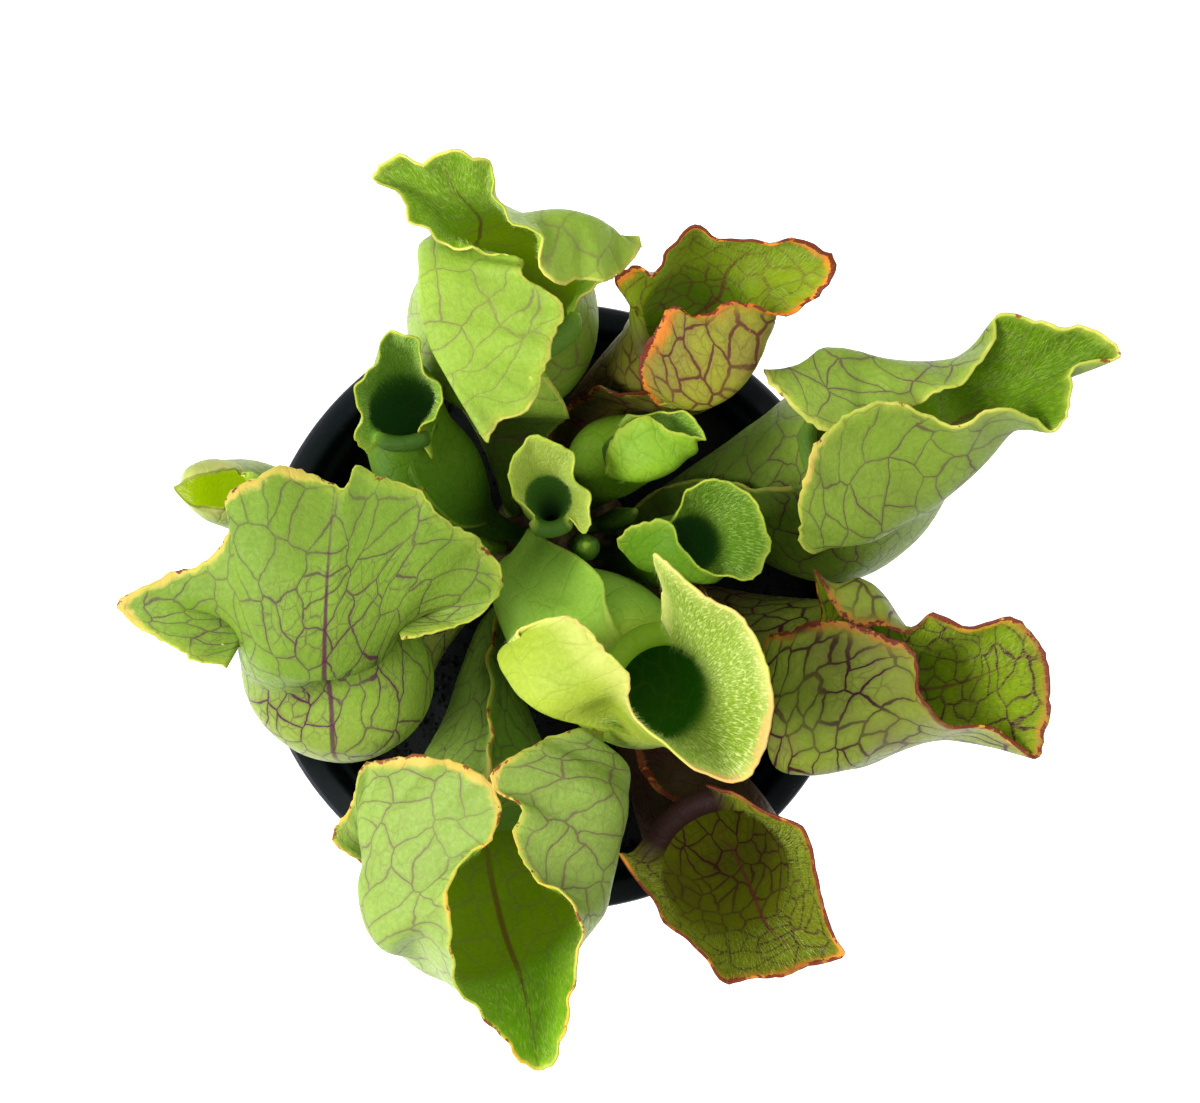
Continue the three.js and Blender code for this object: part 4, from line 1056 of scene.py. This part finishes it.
def makePitcher(name, leaf, seed):
    skin = leafSkin(leaf, seed)
    plain, winged, rise = skin["plain"], skin["winged"], skin["rise"]
    rows, count = plain.shape[:2]
    normals = skinNormals(plain)
    first = int(np.searchsorted(rise, leaf["solidTo"]))
    thin = ramp(rise, everyLeaf["thinFrom"], 2)[:, None] * skin["hooded"]
    wall = leaf["wall"] * (1 - everyLeaf["edgeThinning"] * thin)
    inside = (plain - normals * wall[:, :, None])[first:]
    edgeWay = unit(winged[-1] - winged[-2])
    middleRow = (winged[-1] + inside[-1]) / 2 + edgeWay * wall[-1][:, None] * everyLeaf["edgeRounding"]
    points = np.concatenate([
        winged.reshape(-1, 3), inside.reshape(-1, 3), middleRow,
        [winged[0].mean(axis=0)], [inside[0].mean(axis=0)],
    ])
    outer = np.arange(rows * count).reshape(rows, count)
    inner = outer[first:] - first * count + rows * count
    middle = inner[-1] + count
    foot = int(middle[-1]) + 1
    floor = foot + 1
    faces = []
    for low, high in zip(outer, outer[1:]):
        faces += strip(low, high)
    for low, high in zip(inner, inner[1:]):
        faces += np.stack([low, np.roll(low, -1), np.roll(high, -1), high], axis=1).tolist()
    faces += strip(outer[-1], middle) + strip(middle, inner[-1])
    faces += [[foot, int(a), int(b)] for a, b in zip(outer[0], np.roll(outer[0], -1))]
    faces += [[floor, int(b), int(a)] for a, b in zip(inner[0], np.roll(inner[0], -1))]
    piece = makeMesh(name + "_leaf", points, faces)

    def whole(grid, closing=0.0):  # one value for each point: outside, inside, margin and the two ends
        return np.concatenate([grid.ravel(), grid[first:].ravel(), grid[-1], [closing, closing]])

    def insideOnly(grid):
        end = np.zeros((count + 2,) + grid.shape[2:])
        before = np.zeros((rows * count,) + grid.shape[2:])
        return np.concatenate([before, grid.reshape((-1,) + grid.shape[2:]), end])
    lip = ramp(rise, 0.97, 1.03)[:, None] * (1 - skin["hooded"])
    onHood = ramp(rise, 0.98, 1.08) * (1 - 0.4 * ramp(rise, 1.85, 2))
    hairy = onHood[:, None] * ramp(skin["hooded"], 0.5)
    sheet = skin["sheet"]
    writeAttributes(piece, {
        "inner": np.concatenate([
            np.zeros(rows * count), np.ones((rows - first) * count), np.full(count, 0.5), [0, 1]]),
        "rise": whole(np.ones((rows, count)) * rise[:, None]),
        "edgeAway": whole(skin["away"], everyLeaf["farAway"]),
        "sheet": np.concatenate([
            sheet.reshape(-1, 3), sheet[first:].reshape(-1, 3), sheet[-1], np.zeros((2, 3))]),
        "middleAway": whole(skin["middle"], everyLeaf["farAway"]),
        "aged": whole(skin["aged"]),
        "lip": whole(lip),
        "hairy": insideOnly(hairy[first:]),
        "lay": insideOnly(unit(skin["lay"][first:] - normals[first:] * everyLeaf["hairLift"])),
    })
    return piece


def leafMaterial(name, look):
    look = {key: linear(*value) if isinstance(value, tuple) else value for key, value in look.items()}
    material, tree, shader = newMaterial(
        name, Subsurface_Weight=0.1, Subsurface_Scale=0.0012, Specular_IOR_Level=look["gloss"],
        Emission_Strength=look["glow"], Subsurface_Radius=(0.6, 1.0, 0.2))
    place = objectPlace(tree)
    inner = rangeOf(tree, attribute(tree, "inner"), 0.2, 0.8)
    rise, edgeAway, aged = [attribute(tree, key) for key in ("rise", "edgeAway", "aged")]
    sheet = attribute(tree, "sheet", "Vector")
    mottle = useGroup(tree, leafMottle, vector=place)
    net = useGroup(
        tree, veinNet, vector=place, sheet=sheet, cellSize=look["cell"],
        veinWidth=look["veinWidth"], fine=look["fineVeins"])
    band = useGroup(
        tree, marginBand, vector=place, reach=edgeAway, dryReach=look["dryReach"],
        width=maths(tree, "MULTIPLY_ADD", aged, 2.2, look["marginWidth"]),
        dry=maths(tree, "MULTIPLY_ADD", aged, 0.18, look["dry"]))
    streaks = useGroup(tree, hairStreaks, sheet=sheet)["Streaks"]

    # ground colours: deep in the tube (painted shade, darker towards the foot), up its inside, the hood's
    # inside, and the outer face
    inTube = rangeOf(tree, rise, look["deepTo"], look["deepTo"] + 0.45)
    throat = mixColour(tree, inTube, look["deep"], look["tube"])
    hoodInner = mixColour(tree, rangeOf(tree, rise, 0.9, 1.25), throat, look["inner"])
    # the lower body's colour, which on the young leaves and buds also holds painted shade
    upBody = rangeOf(tree, rise, look["bodyFrom"], look["bodyTo"])
    outer = mixColour(tree, upBody, look["body"], look["outer"])
    base = mixColour(tree, inner, outer, hoodInner)
    for key, share, shade in [("Cloud", 0.4, (0.62, 0.7, 0.42, 1)), ("Grain", 0.42, (0.66, 0.72, 0.48, 1))]:
        base = mixColour(tree, times(tree, mottle[key], share), base, shade, "MULTIPLY")

    # reddening in patches and towards the margin
    patches = noise(tree, place, 75.0, 3.0, 0.6)
    tinge = times(tree, rangeOf(tree, patches, 0.42, 0.68), look["tinge"],
                  rangeOf(tree, inner, 0.0, 1.0, 1.0, 0.45))
    base = mixColour(tree, tinge, base, look["tingeColour"])
    flush = times(tree, rangeOf(tree, edgeAway, 0.0, look["flushReach"], 1.0, 0.0), look["flush"],
                  rangeOf(tree, patches, 0.3, 0.6, 0.35, 1.0), rangeOf(tree, rise, 0.9, 1.1))
    base = mixColour(tree, flush, base, look["flushColour"])

    # veins, and the midrib up the middle of the back
    shown = rangeOf(tree, inner, 0.0, 1.0, look["veins"], look["innerVeins"])
    low = rangeOf(tree, rise, 1.0, 1.4, look["lowVeins"], 1.0)
    fade = times(tree, rangeOf(tree, edgeAway, 0.3, 4.0, 0.35, 1.0), low)
    veins = maths(tree, "MULTIPLY", times(tree, net["Veins"], shown), fade, clamp=True)
    base = mixColour(tree, veins, base, look["vein"])
    halfRib = rangeOf(tree, rise, 0.8, 1.8, look["midribWidth"], look["midribWidth"] * 0.45)
    onRib = rangeOf(tree, attribute(tree, "middleAway"), times(tree, halfRib, 0.3), halfRib, 1.0, 0.0)
    along = times(tree, rangeOf(tree, rise, 0.6, 0.85), rangeOf(tree, rise, 1.4, 1.95, 1.0, 0.35))
    base = mixColour(tree, times(tree, onRib, along, look["midrib"]), base, look["midribColour"])

    # fine hairs lying flat on the hood's inner face
    combed = times(tree, rangeOf(tree, rise, 1.02, 1.3), look["streaks"], inner, streaks)
    base = mixColour(tree, combed, base, look["streakColour"])

    # the free edge, and the rolled lip, whose colour is darkened as painted shade on most looks
    rim = mixColour(tree, band["Blend"], look["margin"], look["marginAlt"])
    rim = mixColour(tree, aged, rim, look["agedColour"])
    edge = times(tree, band["Band"], rangeOf(tree, rise, 0.95, 1.1, look["wingMargin"], 0.85))
    base = mixColour(tree, edge, base, rim)
    base = mixColour(tree, band["Dryness"], base, look["dryColour"])
    base = mixColour(tree, attribute(tree, "lip"), base, look["lip"])
    feed(tree, base, shader.inputs["Base Color"])

    # painted light: emission that stands in for light coming through the thin hood; and the relief
    shine = times(tree, inner, rangeOf(tree, rise, look["glowFrom"], look["glowFrom"] + 0.4))
    feed(tree, mixColour(tree, shine, (0, 0, 0, 1), base), shader.inputs["Emission Color"])
    feed(tree, rangeOf(tree, mottle["Grain"], 0.0, 1.0, 0.38, 0.52), shader.inputs["Roughness"])
    relief = times(tree, net["Relief"], -0.6)
    relief = maths(tree, "ADD", relief, times(tree, mottle["Grain"], 0.35))
    relief = maths(tree, "ADD", relief, times(tree, combed, 0.6))
    addBump(tree, shader, relief, 0.5, 0.0004)
    return material


# Scattered pieces: hairs on the hoods and grains on the peat.

hairs = {
    "thickness": 0.022,
    "sides": 3,
    "stray": 0.14,
    "shortest": 0.55,
    "longest": 1.15,
    "pale": [(170, 196, 76), (210, 220, 150)],
    "green": [(128, 160, 34), (168, 186, 80)],
}


def newGrowth(name, inputs):  # a node tree that scatters instances over a mesh
    return newGroup(
        name, [("Geometry", "Geometry", None)] + inputs, [("Geometry", "Geometry")], "GeometryNodeTree")


def plantOn(tree, given, leave, density, shape, rotation, scale, material, **picked):
    scatter = addNode(
        tree, "GeometryNodeDistributePointsOnFaces",
        {"Mesh": given["Geometry"], "Density": density, "Seed": given["Seed"], **picked},
        distribute_method="RANDOM")
    plant = addNode(tree, "GeometryNodeInstanceOnPoints", {
        "Points": scatter.outputs["Points"], "Instance": shape.outputs["Mesh"],
        "Rotation": rotation, "Scale": scale})
    real = addNode(tree, "GeometryNodeRealizeInstances", {"Geometry": plant.outputs["Instances"]})
    inputs = {"Geometry": real.outputs["Geometry"], "Material": material}
    finish = addNode(tree, "GeometryNodeSetMaterial", inputs)
    feed(tree, finish.outputs["Geometry"], leave["Geometry"])


def makeHairTree(material):  # fine hairs that all lean down towards the mouth
    tree, keys, given, leave = newGrowth("hoodHairs", [
        ("Density", "Float", squareMetre), ("Length", "Float", 0.0015), ("Thickness", "Float", 0.00008),
        ("Seed", "Int", 1)])

    def named(title, kind):
        node = addNode(tree, "GeometryNodeInputNamedAttribute", {"Name": title}, data_type=kind)
        return node.outputs["Attribute"]
    density = times(tree, given["Density"], named("hairy", "FLOAT"))
    reach = (hairs["stray"],) * 3
    limits = {"Min": tuple(-value for value in reach), "Max": reach}
    stray = addNode(tree, "FunctionNodeRandomValue", limits, data_type="FLOAT_VECTOR")
    way = vectorMaths(tree, "ADD", named("lay", "FLOAT_VECTOR"), stray.outputs["Value"])
    turn = addNode(tree, "FunctionNodeAlignRotationToVector", {"Vector": way}, axis="Z")
    hair = addNode(tree, "GeometryNodeMeshCone", {
        "Vertices": hairs["sides"], "Radius Top": 0.0, "Radius Bottom": given["Thickness"],
        "Depth": given["Length"]}, fill_type="NGON")
    limits = {2: hairs["shortest"], 3: hairs["longest"]}
    size = addNode(tree, "FunctionNodeRandomValue", limits, data_type="FLOAT")
    plantOn(tree, given, leave, density, hair, turn.outputs["Rotation"], size.outputs[1], material)
    return tree, keys


def grow(source, name, tree, keys, **values):
    # runs a node tree on a piece's mesh and keeps the result as a plain mesh
    carrier = bpy.data.objects.new(name + "Carrier", source.data)
    scene.collection.objects.link(carrier)
    modifier = carrier.modifiers.new("grow", "NODES")
    modifier.node_group = tree
    for title, value in values.items():
        modifier[keys[title]] = value
    evaluated = carrier.evaluated_get(bpy.context.evaluated_depsgraph_get())
    mesh = bpy.data.meshes.new_from_object(evaluated)
    mesh.name = name
    for title in [layer.name for layer in mesh.attributes if layer.name in leafAttributes]:
        mesh.attributes.remove(mesh.attributes[title])
    bpy.data.objects.remove(carrier)
    piece = bpy.data.objects.new(name, mesh)
    scene.collection.objects.link(piece)
    return piece


def settle(piece, slot, *replaced):
    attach(piece, "root")
    if replaced:
        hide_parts(*replaced)


def hairMaterial(name, tones):
    material, tree, shader = newMaterial(name, Roughness=0.45, Subsurface_Weight=0.0)
    tint = noise(tree, objectPlace(tree), 900.0)
    feed(tree, mixColour(tree, tint, *[linear(*tone) for tone in tones]), shader.inputs["Base Color"])
    return material


leafAttributes = ("lay", "hairy", "inner", "rise", "edgeAway", "sheet", "middleAway", "aged", "lip")
hairTrees = {tone: makeHairTree(hairMaterial("hair_" + tone, hairs[tone])) for tone in ("pale", "green")}

for seed, (name, leaf) in enumerate(pitchers.items()):
    piece = makePitcher(name, leaf, 1.7 * seed + 1)
    piece.data.materials.append(leafMaterial(name + "_finish", leaf["look"]))
    coat = grow(piece, name + "_hairs", *hairTrees[leaf["look"]["hair"]], Density=leaf["hairs"] * squareMetre,
                Length=leaf["hairLength"] * mm, Thickness=hairs["thickness"] * mm, Seed=seed + 1)
    settle(piece, leaf["look"]["slot"], name)
    settle(coat, leaf["look"]["slot"])
    print("leaf", name, len(piece.data.polygons), "faces,", len(coat.data.polygons) // 4, "hairs")


# Buds.

buds = {
    "bud_middle": {
        "spine": [
            [3.5, 13.5, -17, 1.3], [4, 13.5, -8, 1.5], [5, 13.5, 6, 2.2], [6, 12.5, 18, 2.7],
            [6, 12.5, 28, 2], [6, 13, 34, 0.7],
        ],
    },
    "bud_east": {
        "spine": [
            [6.5, 16.5, -17, 1.3], [7.5, 17, -8, 1.5], [10, 17.5, 0, 2], [12.5, 18.5, 7, 2.2],
            [14.5, 19, 12, 1.8], [16, 20, 16, 0.7],
        ],
    },
}
budShape = {
    "sides": 28,
    "steps": 48,
    "seam": 0.16,
    "seamAt": 1.2,
    "seamReach": 0.3,
    "tipRise": 0.5,
    "sheetWidth": 6,
    "sheetLength": 40,
    "edgeAway": 12,
}


def ringFaces(rows, sides):  # faces of stacked rings, with a foot point and a tip point after them
    foot, tip = rows * sides, rows * sides + 1
    faces = []
    for j in range(sides):
        n = (j + 1) % sides
        for i in range(rows - 1):
            faces.append([i * sides + j, i * sides + n, (i + 1) * sides + n, (i + 1) * sides + j])
        faces.append([foot, n, j])
        faces.append([tip, (rows - 1) * sides + j, (rows - 1) * sides + n])
    return faces


def makeBud(name, bud):
    sides, steps, farAway = budShape["sides"], budShape["steps"], everyLeaf["farAway"]
    rows = np.array([planPoint(x, y, h) + [radius] for x, y, h, radius in bud["spine"]])
    path = smoothThrough(np.arange(len(rows)), rows)(np.linspace(0, len(rows) - 1, steps))
    turn = np.linspace(0, 2 * math.pi, sides, endpoint=False)
    seam = 1 - budShape["seam"] * np.exp(-((turn - budShape["seamAt"]) / budShape["seamReach"]) ** 2)
    points = [[x + r * c * s, y + r * w * s, z] for x, y, z, r in path
              for c, w, s in zip(np.cos(turn), np.sin(turn), seam)]
    points += [rows[0, :3].tolist(), [path[-1][0], path[-1][1], path[-1][2] + budShape["tipRise"]]]
    piece = makeMesh(name + "_leaf", points, ringFaces(steps, sides))
    flat = np.ones(len(points))
    heights = np.repeat(np.linspace(0, 1, steps), sides)
    around = np.concatenate([np.tile(turn * budShape["sheetWidth"] * mm, steps), [0, 0]])
    upward = np.concatenate([heights, [0, 1]]) * budShape["sheetLength"] * mm
    writeAttributes(piece, {
        "inner": flat * 0,
        "rise": np.concatenate([heights, [0, 1]]),
        "edgeAway": np.concatenate([(1 - heights) * budShape["edgeAway"], [farAway, 0]]),
        "sheet": np.stack([around, upward, flat * 0], axis=1),
        "middleAway": flat * farAway,
        "aged": flat * 0,
        "lip": flat * 0,
    })
    return piece


budFinish = leafMaterial("bud_finish", {**youngLook, "outer": (118, 162, 56)})
for name, bud in buds.items():
    piece = makeBud(name, bud)
    piece.data.materials.append(budFinish)
    settle(piece, "leaf_young", name)


# Pot, soil and crown.

pot = {
    "sides": 160,
    "profile": [
        [12, 0], [13, 1.4], [38.5, 1.4], [39.5, 0], [44.6, 0], [45.4, 1],
        [56.6, 92], [60.6, 93], [61.4, 101], [62.9, 102], [63.5, 103.4], [62.9, 105],
        [61.6, 104.9], [58.3, 103.9], [57.4, 102], [57, 99.4], [55, 98.2], [43.6, 3],
    ],
    "floorTop": 3,
    "rounding": 0.9,
    "holes": 6,
    "holeSides": 28,
    "holeRadius": 4,
    "holeCircle": 31,
    "holeReach": (-1, 5),
    "sharpFrom": math.radians(40),
    "plastic": [(9, 14, 21), (17, 24, 34)],
    "dust": (92, 88, 84),
}


def roundCorners(profile, reach):
    profile = np.array(profile, float)
    out = [profile[0]]
    for before, corner, after in zip(profile, profile[1:], profile[2:]):
        into, away = before - corner, after - corner
        a = corner + into * min(0.45, reach / np.linalg.norm(into))
        b = corner + away * min(0.45, reach / np.linalg.norm(away))
        for u in (0, 0.33, 0.67, 1):
            out.append(a * (1 - u) ** 2 + 2 * corner * u * (1 - u) + b * u ** 2)
    out.append(profile[-1])
    return np.array(out)


def lathe(name, profile, sides, bottom, top, centre=(0, 0), heightAt=None, evenRings=4):
    # heightAt makes the height uneven above the rings at the foot that stay even
    turn = np.linspace(0, 2 * math.pi, sides, endpoint=False)
    grid = np.stack([
        profile[:, :1] * np.cos(turn) + centre[0], profile[:, :1] * np.sin(turn) + centre[1],
        np.repeat(profile[:, 1:], sides, axis=1),
    ], axis=2)
    if heightAt:
        for ring in grid[evenRings:]:
            for place in ring:
                place[2] = heightAt(*place)
    points = grid.reshape(-1, 3).tolist() + [[*centre, bottom], [*centre, top]]
    return makeMesh(name, points, ringFaces(len(profile), sides))


def makePot():
    body = lathe("pot_body", roundCorners(pot["profile"], pot["rounding"]), pot["sides"], 0, pot["floorTop"])
    sides, radius = pot["holeSides"], pot["holeRadius"]
    points, faces = [], []
    for k in range(pot["holes"]):
        angle = 2 * math.pi * k / pot["holes"]
        x, y = pot["holeCircle"] * math.cos(angle), pot["holeCircle"] * math.sin(angle)
        start = len(points)
        for z in pot["holeReach"]:
            for j in range(sides):
                around = 2 * math.pi * j / sides
                points.append([x + radius * math.cos(around), y + radius * math.sin(around), z])
        faces.append([start + j for j in reversed(range(sides))])
        faces.append([start + sides + j for j in range(sides)])
        for j in range(sides):
            n = (j + 1) % sides
            faces.append([start + j, start + n, start + sides + n, start + sides + j])
    cutter = makeMesh("potHoles", points, faces, smooth=False)
    drill = body.modifiers.new("drill", "BOOLEAN")
    drill.operation, drill.solver, drill.object = "DIFFERENCE", "EXACT", cutter
    evaluated = body.evaluated_get(bpy.context.evaluated_depsgraph_get())
    mesh = bpy.data.meshes.new_from_object(evaluated)
    body.modifiers.clear()
    body.data = mesh
    mesh.set_sharp_from_angle(angle=pot["sharpFrom"])
    bpy.data.objects.remove(cutter)
    return body


def potMaterial():
    material, tree, shader = newMaterial("potPlastic", Specular_IOR_Level=0.25)
    place = objectPlace(tree)
    cloud = noise(tree, place, 60.0, 4.0, 0.6)
    dust = noise(tree, place, 900.0, 3.0, 0.7)
    base = mixColour(tree, cloud, *[linear(*tone) for tone in pot["plastic"]])
    base = mixColour(tree, rangeOf(tree, dust, 0.62, 0.8, 0.0, 0.25), base, linear(*pot["dust"]))
    feed(tree, base, shader.inputs["Base Color"])
    feed(tree, rangeOf(tree, cloud, 0.3, 0.7, 0.34, 0.5), shader.inputs["Roughness"])
    addBump(tree, shader, noise(tree, place, 1800.0, 2.0), 0.15, 0.0002)
    return material


potPiece = makePot()
potPiece.data.materials.append(potMaterial())
settle(potPiece, "pot_plastic", "pot")
print("pot", len(potPiece.data.polygons), "faces")

soil = {
    "side": [[43.2, 3.4], [48.5, 47], [53.6, 89.5]],
    "radius": 54.0,
    "top": 91.0,
    "rings": 64,
    "sides": 150,
    "edgeDrop": 0.6,
    "lumps": [[1.3, 6, 3], [0.5, 1.7, 8]],  # [height, size, layer of the noise]
    "hollow": 1.2,
    "hollowReach": 18,
    "peat": [(6, 10, 9), (15, 21, 17)],
    "grain": [(7, 11, 9), (20, 25, 21)],
    "grains": 1800,
    "grainArea": 0.0093,  # the share of a square metre that they are spread over
    "grainSize": 1.0,
    "grainSeed": 4,
}
crown = {
    "x": 0.5,
    "y": 13,
    "side": [[13.5, 75.2], [15.4, 78], [15.6, 84], [15.6, 90]],
    "radius": 15.2,
    "shoulder": 91,
    "dome": 4,
    "top": 95.3,
    "rings": 26,
    "sides": 90,
    "lumps": 1.6,
    "lumpSize": (3, 3, 5),
    "skin": [(48, 34, 22), (98, 84, 50)],
}


def makeSoil():
    radii = np.linspace(soil["radius"], 1, soil["rings"])
    top = np.stack([radii, np.full(soil["rings"], soil["top"])], axis=1)
    top[0, 1] -= soil["edgeDrop"]

    def heightAt(x, y, z):
        lump = sum(terrain.noise(Vector((x / size, y / size, layer))) * height
                   for height, size, layer in soil["lumps"])
        away = math.hypot(x - crown["x"], y - crown["y"])
        return z + lump - soil["hollow"] * math.exp(-(away / soil["hollowReach"]) ** 4)
    return lathe("potting_soil_bed", np.vstack([soil["side"], top]), soil["sides"], soil["side"][0][1],
                 soil["top"] - 1, heightAt=heightAt)


def makeGrainTree(material):
    tree, keys, given, leave = newGrowth("soilGrains", [
        ("Density", "Float", 2e5), ("Size", "Float", 0.001), ("Seed", "Int", 4)])
    normal = addNode(tree, "GeometryNodeInputNormal").outputs["Normal"]
    split = addNode(tree, "ShaderNodeSeparateXYZ", {0: normal})
    upward = addNode(tree, "FunctionNodeCompare", {0: split.outputs["Z"], 1: 0.5},
                     data_type="FLOAT", operation="GREATER_THAN")
    grain = addNode(tree, "GeometryNodeMeshIcoSphere", {"Radius": given["Size"], "Subdivisions": 1})
    turn = addNode(tree, "FunctionNodeRandomValue", {"Max": (6.28, 6.28, 6.28)}, data_type="FLOAT_VECTOR")
    limits = {"Min": (0.25, 0.25, 0.2), "Max": (1.3, 0.8, 0.7)}
    size = addNode(tree, "FunctionNodeRandomValue", limits, data_type="FLOAT_VECTOR")
    plantOn(tree, given, leave, given["Density"], grain, turn.outputs["Value"], size.outputs["Value"],
            material, Selection=upward.outputs[0])
    return tree, keys


def soilMaterial(name, dark, pale):
    material, tree, shader = newMaterial(name, Specular_IOR_Level=0.2)
    place = objectPlace(tree)
    cloud = noise(tree, place, 240.0, 4.0, 0.7)
    base = mixColour(tree, rangeOf(tree, cloud, 0.35, 0.75), linear(*dark), linear(*pale))
    feed(tree, base, shader.inputs["Base Color"])
    feed(tree, rangeOf(tree, cloud, 0.2, 0.8, 0.75, 0.95), shader.inputs["Roughness"])
    addBump(tree, shader, noise(tree, place, 1500.0, 3.0, 0.7), 0.6, 0.0006)
    return material


soilPiece = makeSoil()
soilPiece.data.materials.append(soilMaterial("peat", *soil["peat"]))
grains = grow(soilPiece, "potting_soil_grains", *makeGrainTree(soilMaterial("peatGrain", *soil["grain"])),
              Density=soil["grains"] / soil["grainArea"], Size=soil["grainSize"] * mm, Seed=soil["grainSeed"])
settle(soilPiece, "peat", "potting_soil")
settle(grains, "peat")
print("soil", len(soilPiece.data.polygons) + len(grains.data.polygons), "faces")


def makeCrown():
    share = np.linspace(0, 1, crown["rings"])
    dome = crown["shoulder"] + crown["dome"] * np.sin(share * math.pi / 2)
    top = np.stack([np.linspace(crown["radius"], 0.8, crown["rings"]), dome], axis=1)

    def heightAt(x, y, z):
        wide, deep, tall = crown["lumpSize"]
        lump = terrain.noise(Vector((x / wide, y / deep, z / tall)))
        return min(z + lump * crown["lumps"], crown["top"] + 0.2)
    return lathe("rhizome_crown", np.vstack([crown["side"], top]), crown["sides"], crown["side"][0][1],
                 crown["top"] - 0.4, centre=(crown["x"], crown["y"]), heightAt=heightAt)


crownPiece = makeCrown()
crownPiece.data.materials.append(soilMaterial("crownSkin", *crown["skin"]))
settle(crownPiece, "rhizome", "rhizome")


# Floor, light and camera.

studio = {
    "floor": [(0.9, 0.9, 0.9, 1), (0.93, 0.93, 0.93, 1)],
    "floorReach": 1500,
    "floorLevel": -0.2,  # a hair under the pot's foot
    "paperGlow": 0.8,
    "world": 0.45,
    "white": (1, 1, 1, 1),
    "lights": [
        {"name": "keyLight", "place": (-0.7, -0.12, 0.75), "size": 0.6, "power": 13.0},
        {"name": "fillLight", "place": (0.5, 0.2, 1.0), "size": 0.8, "power": 5.0},
    ],
    "lightAim": (0, 0, 0.1),
    "camera": (0.0088, 0.0116, 0.585),
    "lens": 69.23,
    "sensor": 36,
}


def makeStudio():
    reach, level = studio["floorReach"], studio["floorLevel"]
    corners = [[-reach, -reach, level], [reach, -reach, level], [reach, reach, level], [-reach, reach, level]]
    floor = makeMesh("studioFloor", corners, [[0, 1, 2, 3]])
    material, tree, shader = newMaterial(
        "floorPaper", Roughness=0.9, Emission_Strength=studio["paperGlow"], Emission_Color=studio["white"])
    cloud = noise(tree, objectPlace(tree), 3.0)
    feed(tree, mixColour(tree, cloud, *studio["floor"]), shader.inputs["Base Color"])
    floor.data.materials.append(material)
    floor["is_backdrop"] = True
    scene.view_settings.view_transform = "Standard"
    world = bpy.data.worlds.new("studio")
    world.use_nodes = True
    background = world.node_tree.nodes["Background"]
    background.inputs["Color"].default_value = studio["white"]
    background.inputs["Strength"].default_value = studio["world"]
    scene.world = world
    for light in studio["lights"]:
        lamp = bpy.data.lights.new(light["name"], "AREA")
        lamp.size = light["size"]
        lamp.energy = light["power"]
        holder = bpy.data.objects.new(light["name"], lamp)
        holder.location = light["place"]
        aim = Vector(studio["lightAim"]) - Vector(light["place"])
        holder.rotation_euler = aim.to_track_quat("-Z", "Y").to_euler()
        scene.collection.objects.link(holder)


def makeCamera():
    lens = bpy.data.cameras.new("overheadCamera")
    lens.lens = studio["lens"]
    lens.sensor_width = studio["sensor"]
    holder = bpy.data.objects.new("overheadCamera", lens)
    holder.location = studio["camera"]
    scene.collection.objects.link(holder)
    scene.camera = holder


makeStudio()
makeCamera()
print("studio ready")

plain = [[[float(value) for value in corner] for corner in box] for box in (packedBox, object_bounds())]
